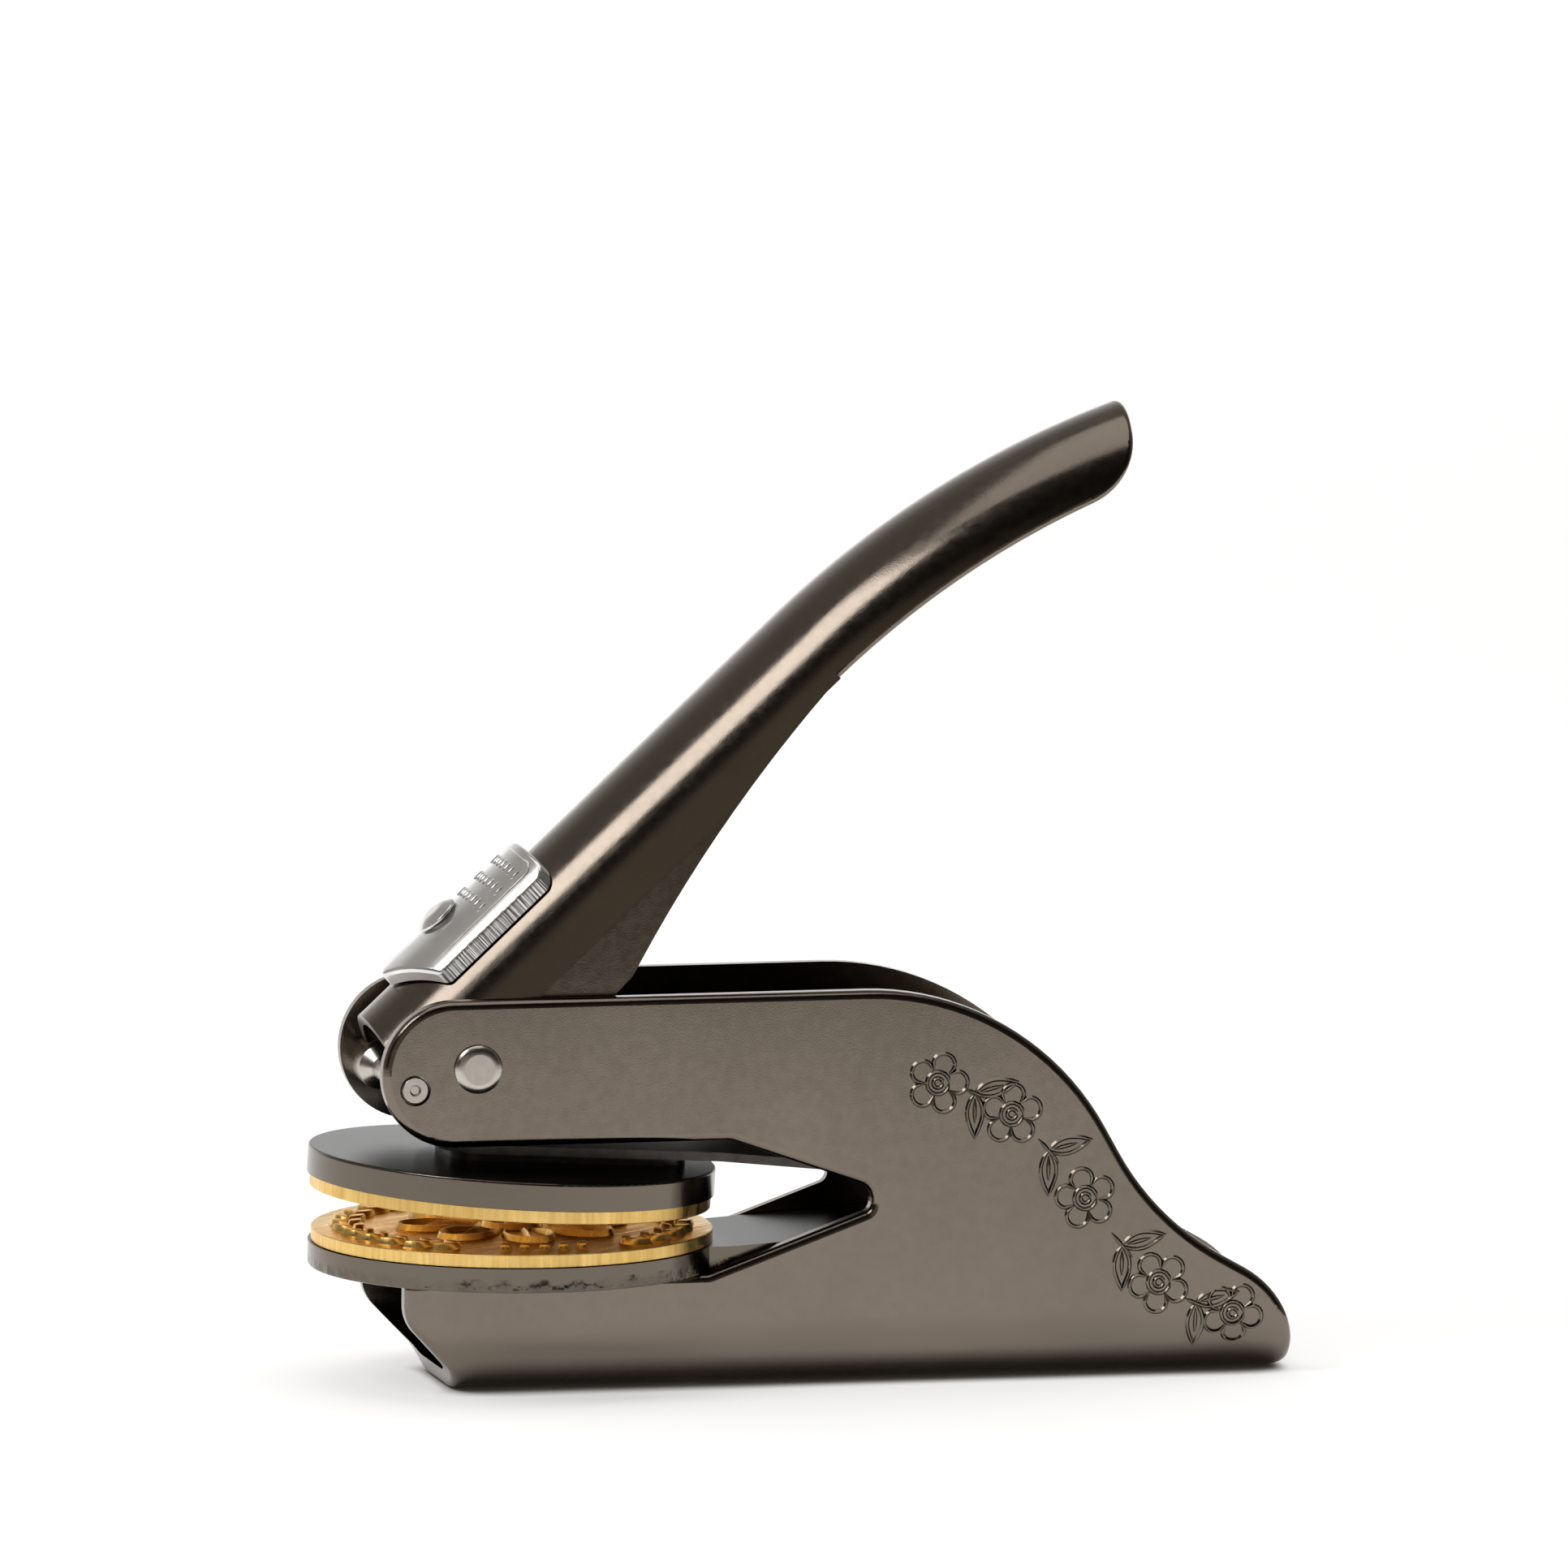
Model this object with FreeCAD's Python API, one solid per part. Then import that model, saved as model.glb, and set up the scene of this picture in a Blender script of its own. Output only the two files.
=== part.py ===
import FreeCAD, Part
import math
import os
from FreeCAD import Vector

# Hand-held seal embosser, millimetres.
# X runs from the dies back to the tail, Z is up, and the two cheeks stand at -Y and +Y.
# The origin is where the axis of the dies meets the surface that the frame stands on.
# The handle is drawn open. It and its latch are drawn in the handle's own plane first:
# there the pivot is at 0, 0, the crown runs level along +X, and +Z is the crown's outer side.

# ---- frame: one sheet of steel folded into a U ----
FRAME_WIDTH = 25.4
FRAME_SHEET = 2.1
BEND_RADIUS = 7.7          # outside of the fold along the bottom
EDGE_ROUND = 0.9           # tumbled outer edges
JAW_TOP = 44.6
UPPER_JAW_HEIGHT = 16.5
NOSE_FRONT = -17.45
LOWER_JAW_TOP = 13.05
LOWER_JAW_FRONT = -14.85
CHIN_HEIGHT = 8.5          # where the lower jaw starts to slope back to the web
CHIN_RADIUS = 4.5
WEB_FRONT = -8.65
WEB_RISE = 1.9
WEB_FRONT_RADIUS = 4.5
THROAT_END = 38.55
THROAT_UPPER_START = 22.4
THROAT_LOWER_START = 19.95
THROAT_UPPER_SLOPE = 19.4  # degrees
THROAT_LOWER_SLOPE = 20.0
THROAT_UPPER_RADIUS = 1.9
THROAT_LOWER_RADIUS = 1.2
THROAT_BREAK = 2.0         # rounding where the throat opens to its slopes
HUMP_CORNER = 56.4
HUMP_RADIUS = 31.5
HUMP_SLOPE = 61.0          # steepest slope of the back, degrees
BACK_LENGTH = 30.6         # from the hump's corner to the saddle's
SADDLE_RADIUS = 31.0
TAIL_SLOPE = 29.5
TAIL_END = 87.3
TAIL_RADIUS = 11.3
HEEL_HEIGHT = 1.3
HEEL_RADIUS = 1.6

# ---- pins through the cheeks ----
PIVOT_X = -6.65
PIVOT_Z = 37.0
PIVOT_RADIUS = 2.0
PIVOT_HEAD_RADIUS = 2.75
PIVOT_HEAD_HEIGHT = 0.85
LOCK_X = -13.8
LOCK_Z = 34.75
LOCK_RADIUS = 2.5          # the collars between the cheeks
LOCK_END_RADIUS = 1.55
LOCK_WAIST_RADIUS = 1.3
LOCK_WAIST_LENGTH = 9.0
LOCK_DIMPLE_RADIUS = 0.65
LOCK_DIMPLE_DEPTH = 0.35
LOCK_HOLE_GAP = 0.2
RUNNING_GAP = 0.05         # on the radius, where one piece turns on another
RIVET_GAP = 0.03           # on the radius, where a pin is driven home

# ---- handle ----
OPEN_ANGLE = 42.9          # slope of the crown, degrees
CLOSING_ANGLE = 36.0
HANDLE_SHEET = 1.2
HANDLE_WIDTH = 20.4
CROWN_HEIGHT = 10.5        # above the pivot
CROWN_FRONT = -4.75
FRONT_RAKE = 0.265         # the walls lean forward under the crown's front edge
STRAIGHT_LENGTH = 59.7     # from the pivot to where the grip starts to curve
GRIP_RADIUS = 110.0
GRIP_DEPTH = 7.8
GRIP_START = 57.4
TIP_RADIUS = 8.65
TIP_LENGTH = 106.45        # from the pivot to the tip, along the crown
TIP_LEAN = 28.0            # the tip's end leans out towards the crown, degrees
TIP_ROUND = 0.6
FLARE_RADIUS = 160.0       # the walls deepen towards the pivot
FLARE_CORNER_X = 39.0
FLARE_CORNER_Z = 1.0
HEM_BACK_X = 19.9
HEM_BACK_Z = -5.3
HEM_RADIUS = 3.0
HEM_FRONT_X = 5.2
HEM_FRONT_Z = -5.9
RELIEF = 0.35              # between the lock pin and the handle's walls
PATH_MARGIN = 5.0          # degrees of that room past the closed place
BUSH_RADIUS = 2.45
BUSH_END_GAP = 0.4         # from the walls, clear of the curve of the crown

# ---- press roller, under the pivot ----
PRESS_ARM = 9.2            # from the pivot to the press pin
PRESS_ANGLE = 45.7         # below level with the handle open, degrees
PRESS_PIN_RADIUS = 1.2
ROLLER_RADIUS = 2.35
EAR_RADIUS = 2.05          # of the handle's ear around the press pin
SIDE_GAP = 0.3             # at the ends of what turns between two walls

# ---- dies ----
CARRIER_RADIUS = 22.85
CARRIER_THICKNESS = 2.75   # lower plate and its tail
UPPER_CARRIER_THICKNESS = 3.1
CARRIER_ROUND = 0.3
DIE_STEP = 0.35            # the die plates stand back from the carriers' rims
DIE_THICKNESS = 1.5
DIE_CHAMFER = 0.1
CLOSED_GAP = 0.96          # between the die plates with the handle down
DIE_PITCH = 3.3            # opening angle of the upper die, degrees

# ---- the clip that carries the dies ----
ARM_WIDTH = 20.4
TAIL_BEND_X = 23.4
CLAMP_FRONT = 43.6
CLAMP_BACK = 57.6
TAIL_RISE = 1.35
SPRING_THICKNESS = 1.0
SPRING_FRONT = -10.0
SPRING_FRONT_RADIUS = 5.0
SPRING_BEND_X = 21.6
SPRING_BEND_RADIUS = 20.0
CLAMP_SPRING_TOP = 24.1    # upper face of the spring where it is clamped
SHIM_THICKNESS = 1.3
SHIM_FRONT = -8.0
SHIM_BACK = 19.0
SHIM_WIDTH = 13.0
SHIM_RADIUS = 3.0
CARRIER_RIVET_RADIUS = 1.5
CARRIER_RIVET_HEAD = 2.4
CARRIER_RIVETS_X = (-6.5, 9.0, 16.0)
CLIP_RIVET_RADIUS = 1.3
CLIP_RIVET_HEAD_RADIUS = 2.2
CLIP_RIVET_HEAD_HEIGHT = 0.9
CLIP_RIVETS_X = (48.2, 53.0)
BLOCK_ROUND = 1.0
BRACKET_SHEET = 1.5
BRACKET_WIDTH = 9.6
BRACKET_FOOT = 6.5
BRACKET_BEND = 0.8         # inside of its bends
BRACKET_RIVET_RADIUS = 1.4
BRACKET_RIVET_HEAD = 2.5
COUNTERSINK_DEPTH = 1.1

# ---- thumb latch on the crown ----
LATCH_TRAVEL = 1.9
LATCH_SHEET = 1.75         # at the crest; thinner towards the long edges
LATCH_GAP = 0.3            # over the crown
LATCH_TIP = -0.3           # along the crown from the pivot
LATCH_SHOULDER = 4.5
LATCH_BACK = 21.3
LATCH_HALF_WIDTH = 7.2
LATCH_CREST_RADIUS = 10.35
LATCH_TIP_RADIUS = 1.5
LATCH_SHOULDER_RADIUS = 1.1
LATCH_CORNER_RADIUS = 1.9
LATCH_ROUND = 0.6
BUTTON_X = 9.1
BUTTON_RADIUS = 2.55
BUTTON_HEIGHT = 0.95
BUTTON_NECK_RADIUS = 1.8
BUTTON_NECK_HEIGHT = 0.15
STUD_RADIUS = 1.3
STUD_GAP = 0.3
STUD_FOOT_RADIUS = 1.9     # peened over under the hook
STUD_FOOT_HEIGHT = 0.5
HOOK_SHEET = 1.0
HOOK_WIDTH = 6.0
HOOK_TOP_Z = 8.3
HOOK_BACK_X = 13.0
HOOK_LEG_X = -3.3          # front face of the hook's leg
HOOK_TOE_X = -5.7
HOOK_TOE_Z = 0.4           # underside of the toe that goes over the lock pin
HOOK_BEND = 0.6
WASHER_RADIUS = 2.6
WASHER_SHEET = 0.25
WASHER_RISE = 0.35

OVER = 5.0                 # how far cutting tools reach past what they cut

HALF_WIDTH = FRAME_WIDTH / 2
INNER_HALF = HALF_WIDTH - FRAME_SHEET
JAW_BOTTOM = JAW_TOP - UPPER_JAW_HEIGHT
HANDLE_HALF = HANDLE_WIDTH / 2
HANDLE_INNER = HANDLE_HALF - HANDLE_SHEET
DIE_RADIUS = CARRIER_RADIUS - DIE_STEP
TIP_SLANT = math.radians(TIP_LEAN)
TIP_RISE = TIP_RADIUS - GRIP_DEPTH
TIP_DROP = (TIP_RADIUS * math.sin(TIP_SLANT) - TIP_RISE) * math.tan(TIP_SLANT)
TIP_REACH = TIP_RADIUS * math.cos(TIP_SLANT) + TIP_DROP
TIP_START = TIP_LENGTH - TIP_REACH     # along the crown, where the tip starts to round up
LOWER_DIE_TOP = LOWER_JAW_TOP + CARRIER_THICKNESS + DIE_THICKNESS
HINGE_Z = CLAMP_SPRING_TOP - SPRING_THICKNESS / 2
TAIL_CLAMP_BOTTOM = LOWER_JAW_TOP + TAIL_RISE
BLOCK_BOTTOM = TAIL_CLAMP_BOTTOM + CARRIER_THICKNESS
BLOCK_TOP = CLAMP_SPRING_TOP - SPRING_THICKNESS


# ---- drawing helpers ----

def corner_wire(corners, place):
    """Closed wire through corners (a, b, radius), each rounded by its own radius."""
    count = len(corners)
    trims = []
    for i in range(count):
        a, b, radius = corners[i]
        here = Vector(a, b, 0)
        before = Vector(corners[i - 1][0], corners[i - 1][1], 0) - here
        after = Vector(corners[(i + 1) % count][0], corners[(i + 1) % count][1], 0) - here
        before.normalize()
        after.normalize()
        if radius <= 0:
            trims.append((here, here, here))
            continue
        half = before.getAngle(after) / 2
        bisector = (before + after).normalize()
        reach = radius / math.tan(half)
        middle = here + bisector * (radius / math.sin(half) - radius)
        trims.append((here + before * reach, middle, here + after * reach))
    edges = []
    for i in range(count):
        start, middle, end = trims[i]
        following = trims[(i + 1) % count][0]
        if start.distanceToPoint(end) > 1e-6:
            edges.append(Part.Arc(place(start), place(middle), place(end)).toShape())
        if end.distanceToPoint(following) > 1e-6:
            edges.append(Part.LineSegment(place(end), place(following)).toShape())
    return Part.Wire(edges)


def side_view(point):
    return Vector(point.x, 0, point.y)


def end_view(point):
    return Vector(0, point.x, point.y)


def plan_view(point):
    return Vector(point.x, point.y, 0)


def side_plate(corners, y_low, y_high):
    """Solid with a side-view outline, from y_low to y_high."""
    face = Part.Face(corner_wire(corners, side_view))
    face.translate(Vector(0, y_low, 0))
    return face.extrude(Vector(0, y_high - y_low, 0))


def plan_plate(corners, z_low, z_high):
    """Solid with a plan-view outline, from z_low to z_high."""
    face = Part.Face(corner_wire(corners, plan_view))
    face.translate(Vector(0, 0, z_low))
    return face.extrude(Vector(0, 0, z_high - z_low))


def cross_pin(radius, x, z, y_low, y_high):
    return Part.makeCylinder(radius, y_high - y_low, Vector(x, y_low, z), Vector(0, 1, 0))


def post(radius, x, z_low, z_high):
    return Part.makeCylinder(radius, z_high - z_low, Vector(x, 0, z_low))


def turned(profile, base, axis):
    """Solid of revolution. The profile holds (radius, height) corners along the axis."""
    corners = [Vector(r, 0, h) for r, h in profile]
    wire = Part.makePolygon(corners + corners[:1])
    solid = Part.Face(wire).revolve(Vector(0, 0, 0), Vector(0, 0, 1), 360)
    solid.Placement = FreeCAD.Placement(base, FreeCAD.Rotation(Vector(0, 0, 1), axis))
    return solid


def one_solid(shape):
    return shape.removeSplitter().Solids[0]


def save(name, *solids):
    shape = solids[0] if len(solids) == 1 else Part.makeCompound(list(solids))
    shape.exportStep("parts/" + name + ".step")
    box = shape.BoundBox
    print("%-16s %d solid(s) valid=%s volume=%8.2f  X %7.2f %7.2f  Y %7.2f %7.2f  Z %7.2f %7.2f" % (
        name, len(shape.Solids), shape.isValid(), shape.Volume,
        box.XMin, box.XMax, box.YMin, box.YMax, box.ZMin, box.ZMax))


def lifted(shape):
    """Swing a piece of the upper die from its closed, level place to the open one."""
    moved = shape.copy()
    moved.rotate(Vector(CLAMP_FRONT, 0, HINGE_Z), Vector(0, 1, 0), DIE_PITCH)
    return moved


def on_handle(shape):
    """Carry a piece from the handle's own plane to its open place on the frame."""
    moved = shape.copy()
    moved.rotate(Vector(0, 0, 0), Vector(0, 1, 0), -OPEN_ANGLE)
    moved.translate(Vector(PIVOT_X, 0, PIVOT_Z))
    return moved


def in_handle_plane(x, z):
    """The place in the handle's plane of a point given from the pivot on the frame."""
    angle = math.radians(OPEN_ANGLE)
    return (x * math.cos(angle) + z * math.sin(angle), -x * math.sin(angle) + z * math.cos(angle))


# ---- frame ----

def frame_outline():
    upper_fall = math.tan(math.radians(THROAT_UPPER_SLOPE))
    lower_rise = math.tan(math.radians(THROAT_LOWER_SLOPE))
    upper_end = JAW_BOTTOM - (THROAT_END - THROAT_UPPER_START) * upper_fall
    lower_end = LOWER_JAW_TOP + (THROAT_END - THROAT_LOWER_START) * lower_rise
    nose_radius = UPPER_JAW_HEIGHT / 2
    back = math.radians(HUMP_SLOPE)
    saddle_x = HUMP_CORNER + BACK_LENGTH * math.cos(back)
    saddle_z = JAW_TOP - BACK_LENGTH * math.sin(back)
    tail_z = saddle_z - (TAIL_END - saddle_x) * math.tan(math.radians(TAIL_SLOPE))
    return [
        (NOSE_FRONT, JAW_TOP, nose_radius),
        (HUMP_CORNER, JAW_TOP, HUMP_RADIUS),
        (saddle_x, saddle_z, SADDLE_RADIUS),
        (TAIL_END, tail_z, TAIL_RADIUS),
        (TAIL_END, HEEL_HEIGHT, HEEL_RADIUS),
        (TAIL_END - HEEL_HEIGHT, 0, 0),
        (WEB_FRONT, 0, 0),
        (WEB_FRONT, WEB_RISE, WEB_FRONT_RADIUS),
        (LOWER_JAW_FRONT, CHIN_HEIGHT, CHIN_RADIUS),
        (LOWER_JAW_FRONT, LOWER_JAW_TOP, 0.8),
        (THROAT_LOWER_START, LOWER_JAW_TOP, THROAT_BREAK),
        (THROAT_END, lower_end, THROAT_LOWER_RADIUS),
        (THROAT_END, upper_end, THROAT_UPPER_RADIUS),
        (THROAT_UPPER_START, JAW_BOTTOM, THROAT_BREAK),
        (NOSE_FRONT, JAW_BOTTOM, nose_radius),
    ]


def on_outer_skin(point):
    if abs(abs(point.y) - HALF_WIDTH) < 1e-4 or abs(point.z) < 1e-4:
        return True
    if point.z > BEND_RADIUS:
        return False
    from_axis = math.hypot(abs(point.y) - (HALF_WIDTH - BEND_RADIUS), point.z - BEND_RADIUS)
    return abs(from_axis - BEND_RADIUS) < 1e-4


def on_bend_line(point):
    beside = abs(abs(point.y) - HALF_WIDTH) < 1e-4 and abs(point.z - BEND_RADIUS) < 1e-4
    below = abs(point.z) < 1e-4 and abs(abs(point.y) - (HALF_WIDTH - BEND_RADIUS)) < 1e-4
    return beside or below


def outer_edges(solid):
    """Edges of the folded sheet's outer skin, without the lines where its bend begins."""
    chosen = []
    for edge in solid.Edges:
        first, last = edge.ParameterRange
        points = [edge.valueAt(first + (last - first) * share) for share in (0.1, 0.5, 0.9)]
        if all(on_outer_skin(p) for p in points) and not all(on_bend_line(p) for p in points):
            chosen.append(edge)
    return chosen


def make_frame():
    inner = BEND_RADIUS - FRAME_SHEET
    above = JAW_TOP + OVER
    fold = [
        (-HALF_WIDTH, above, 0),
        (-HALF_WIDTH, 0, BEND_RADIUS),
        (HALF_WIDTH, 0, BEND_RADIUS),
        (HALF_WIDTH, above, 0),
        (INNER_HALF, above, 0),
        (INNER_HALF, FRAME_SHEET, inner),
        (-INNER_HALF, FRAME_SHEET, inner),
        (-INNER_HALF, above, 0),
    ]
    face = Part.Face(corner_wire(fold, end_view))
    face.translate(Vector(NOSE_FRONT - OVER, 0, 0))
    channel = face.extrude(Vector(TAIL_END - NOSE_FRONT + 2 * OVER, 0, 0))
    blank = side_plate(frame_outline(), -HALF_WIDTH - OVER, HALF_WIDTH + OVER)
    frame = one_solid(channel.common(blank))
    frame = frame.makeFillet(EDGE_ROUND, outer_edges(frame))
    reach = HALF_WIDTH + OVER
    frame = frame.cut(cross_pin(PIVOT_RADIUS + RIVET_GAP, PIVOT_X, PIVOT_Z, -reach, reach))
    frame = frame.cut(cross_pin(LOCK_END_RADIUS + LOCK_HOLE_GAP, LOCK_X, LOCK_Z, -reach, reach))
    for x in bracket_rivet_places():
        frame = frame.cut(countersunk_post(x, RIVET_GAP))
    return frame.Solids[0]


# ---- pins through the cheeks ----

def make_pivot_rivet():
    rim = PIVOT_HEAD_HEIGHT * 0.35
    shoulder = PIVOT_HEAD_RADIUS * 0.86
    top = HALF_WIDTH + PIVOT_HEAD_HEIGHT
    half = [
        (PIVOT_RADIUS, 0, 0),
        (PIVOT_RADIUS, HALF_WIDTH, 0),
        (PIVOT_HEAD_RADIUS, HALF_WIDTH, 0),
        (PIVOT_HEAD_RADIUS, HALF_WIDTH + rim, 0.2),
        (shoulder, top, 1.2),
        (0, top, 0),
        (0, 0, 0),
    ]
    face = Part.Face(corner_wire(half, side_view))
    half_rivet = face.revolve(Vector(0, 0, 0), Vector(0, 0, 1), 360)
    sides = []
    for direction in (-1, 1):
        side = half_rivet.copy()
        side.Placement = FreeCAD.Placement(
            Vector(PIVOT_X, 0, PIVOT_Z), FreeCAD.Rotation(Vector(0, 0, 1), Vector(0, direction, 0)))
        sides.append(side)
    return one_solid(sides[0].fuse(sides[1]))


def make_lock_pin():
    half = [
        (LOCK_WAIST_RADIUS, 0),
        (LOCK_WAIST_RADIUS, LOCK_WAIST_LENGTH / 2),
        (LOCK_RADIUS, LOCK_WAIST_LENGTH / 2 + LOCK_RADIUS - LOCK_WAIST_RADIUS),
        (LOCK_RADIUS, INNER_HALF),
        (LOCK_END_RADIUS, INNER_HALF),
        (LOCK_END_RADIUS, HALF_WIDTH - 0.2),
        (LOCK_END_RADIUS - 0.15, HALF_WIDTH - 0.05),
        (LOCK_DIMPLE_RADIUS, HALF_WIDTH - 0.05),
        (LOCK_DIMPLE_RADIUS - 0.2, HALF_WIDTH - 0.05 - LOCK_DIMPLE_DEPTH),
        (0, HALF_WIDTH - 0.05 - LOCK_DIMPLE_DEPTH),
        (0, 0),
    ]
    base = Vector(LOCK_X, 0, LOCK_Z)
    return one_solid(turned(half, base, Vector(0, -1, 0)).fuse(turned(half, base, Vector(0, 1, 0))))


# ---- handle ----

def on_grip(along, depth):
    """A point on the curved grip, by its length along the crown and depth under it."""
    turn = (along - STRAIGHT_LENGTH) / GRIP_RADIUS
    radius = GRIP_RADIUS - depth
    return (STRAIGHT_LENGTH + radius * math.sin(turn), CROWN_HEIGHT - GRIP_RADIUS + radius * math.cos(turn))


def arch_edges(half, foot_z):
    """End view of one skin of the handle: a half-round crown on straight walls."""
    centre_z = CROWN_HEIGHT - HANDLE_HALF
    left = Vector(0, -half, centre_z)
    right = Vector(0, half, centre_z)
    return [
        Part.LineSegment(Vector(0, -half, foot_z), left).toShape(),
        Part.Arc(left, Vector(0, 0, centre_z + half), right).toShape(),
        Part.LineSegment(right, Vector(0, half, foot_z)).toShape(),
    ]


def arch_face(foot_z):
    feet = []
    for side in (-1, 1):
        outer_foot = Vector(0, side * HANDLE_HALF, foot_z)
        inner_foot = Vector(0, side * HANDLE_INNER, foot_z)
        feet.append(Part.LineSegment(outer_foot, inner_foot).toShape())
    edges = arch_edges(HANDLE_HALF, foot_z) + arch_edges(HANDLE_INNER, foot_z) + feet
    return Part.Face(Part.Wire(Part.__sortEdges__(edges)))


def handle_channel():
    """The crowned channel, straight over the frame and curved down along the grip."""
    start = CROWN_FRONT - OVER
    straight = arch_face(-PRESS_ARM - OVER)
    straight.translate(Vector(start, 0, 0))
    straight = straight.extrude(Vector(STRAIGHT_LENGTH - start, 0, 0))
    curved = arch_face(CROWN_HEIGHT - GRIP_DEPTH - OVER)
    curved.translate(Vector(STRAIGHT_LENGTH, 0, 0))
    turn = math.degrees((TIP_LENGTH + OVER - STRAIGHT_LENGTH) / GRIP_RADIUS)
    centre = Vector(STRAIGHT_LENGTH, 0, CROWN_HEIGHT - GRIP_RADIUS)
    curved = curved.revolve(centre, Vector(0, 1, 0), turn)
    return straight, curved


def press_place():
    angle = math.radians(PRESS_ANGLE)
    return in_handle_plane(PRESS_ARM * math.cos(angle), -PRESS_ARM * math.sin(angle))


def lock_place():
    return in_handle_plane(LOCK_X - PIVOT_X, LOCK_Z - PIVOT_Z)


def handle_side():
    """Side view of the handle, taller than the crown, as a face in the handle's plane."""
    top = CROWN_HEIGHT + OVER
    front_low = 2.0
    press_x, press_z = press_place()
    lock_x, lock_z = lock_place()
    neck_radius = math.hypot(lock_x, lock_z) - LOCK_RADIUS - RELIEF
    lean = math.asin((neck_radius - EAR_RADIUS) / PRESS_ARM)
    down = math.atan2(press_z, press_x)
    tangent = down - math.pi / 2 - lean
    neck = (neck_radius * math.cos(tangent), neck_radius * math.sin(tangent))
    kink = on_grip(STRAIGHT_LENGTH, GRIP_DEPTH)
    pieces = [
        (CROWN_FRONT + (top - CROWN_HEIGHT) * FRONT_RAKE, top, 0),
        (CROWN_FRONT - (CROWN_HEIGHT - front_low) * FRONT_RAKE, front_low, 0),
        (neck[0], neck[1], 0),
        (press_x - EAR_RADIUS, press_z - EAR_RADIUS, EAR_RADIUS),
        (press_x + EAR_RADIUS, press_z - EAR_RADIUS, EAR_RADIUS),
        (HEM_FRONT_X, HEM_FRONT_Z, HEM_RADIUS / 2),
        (HEM_BACK_X, HEM_BACK_Z, HEM_RADIUS),
        (FLARE_CORNER_X, FLARE_CORNER_Z, FLARE_RADIUS),
        (GRIP_START, kink[1], 0),
        (kink[0], kink[1], 0),
        (kink[0], top, 0),
    ]
    return Part.Face(corner_wire(pieces, side_view))


def grip_side():
    """Side view of the curved grip: a band under the crown with a rounded tip."""
    def at(along, depth):
        x, z = on_grip(along, depth)
        return Vector(x, 0, z)
    middle = (STRAIGHT_LENGTH + TIP_START) / 2
    low_start = at(STRAIGHT_LENGTH, GRIP_DEPTH)
    low_end = at(TIP_START, GRIP_DEPTH)
    centre = at(TIP_START, -TIP_RISE)
    radial = (low_end - centre).normalize()
    ahead = Vector(-radial.z, 0, radial.x)
    halfway = (TIP_SLANT + math.radians(90)) / 2
    arc_middle = centre + (ahead * math.cos(halfway) + radial * math.sin(halfway)) * TIP_RADIUS
    tip_end = centre + (ahead * math.cos(TIP_SLANT) + radial * math.sin(TIP_SLANT)) * TIP_RADIUS
    top_end = tip_end + (ahead * math.sin(TIP_SLANT) - radial * math.cos(TIP_SLANT)) * (TIP_RADIUS + OVER)
    top_start = at(STRAIGHT_LENGTH, -OVER * 2)
    top_middle = at((STRAIGHT_LENGTH + TIP_LENGTH) / 2, -OVER * 2)
    edges = [
        Part.Arc(low_start, at(middle, GRIP_DEPTH), low_end).toShape(),
        Part.Arc(low_end, arc_middle, tip_end).toShape(),
        Part.LineSegment(tip_end, top_end).toShape(),
        Part.LineSegment(top_end, top_middle).toShape(),
        Part.LineSegment(top_middle, top_start).toShape(),
        Part.LineSegment(top_start, low_start).toShape(),
    ]
    return Part.Face(Part.Wire(edges))


def lock_pin_path():
    """Room for the lock pin: it sweeps round the pivot as the handle closes."""
    lock_x, lock_z = lock_place()
    distance = math.hypot(lock_x, lock_z)
    start = math.degrees(math.atan2(lock_z, lock_x))
    inner = distance - LOCK_RADIUS - RELIEF
    outer = distance + LOCK_RADIUS + OVER
    face = Part.Face(Part.Wire([
        Part.LineSegment(Vector(inner, 0, 0), Vector(outer, 0, 0)).toShape(),
        Part.LineSegment(Vector(outer, 0, 0), Vector(outer, HANDLE_WIDTH, 0)).toShape(),
        Part.LineSegment(Vector(outer, HANDLE_WIDTH, 0), Vector(inner, HANDLE_WIDTH, 0)).toShape(),
        Part.LineSegment(Vector(inner, HANDLE_WIDTH, 0), Vector(inner, 0, 0)).toShape(),
    ]))
    face.translate(Vector(0, -HANDLE_HALF, 0))
    ring = face.revolve(Vector(0, 0, 0), Vector(0, -1, 0), CLOSING_ANGLE + PATH_MARGIN)
    ring.rotate(Vector(0, 0, 0), Vector(0, -1, 0), start)
    return ring, cross_pin(LOCK_RADIUS + RELIEF, lock_x, lock_z, -HANDLE_HALF, HANDLE_HALF)


def latch_slot():
    """Slot in the crown for the latch's stud."""
    half = STUD_RADIUS + STUD_GAP
    low = BUTTON_X - LATCH_TRAVEL - half
    high = BUTTON_X + half
    corners = [(low, -half, half), (high, -half, half), (high, half, half), (low, half, half)]
    return plan_plate(corners, CROWN_HEIGHT - OVER, CROWN_HEIGHT + OVER)


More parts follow.
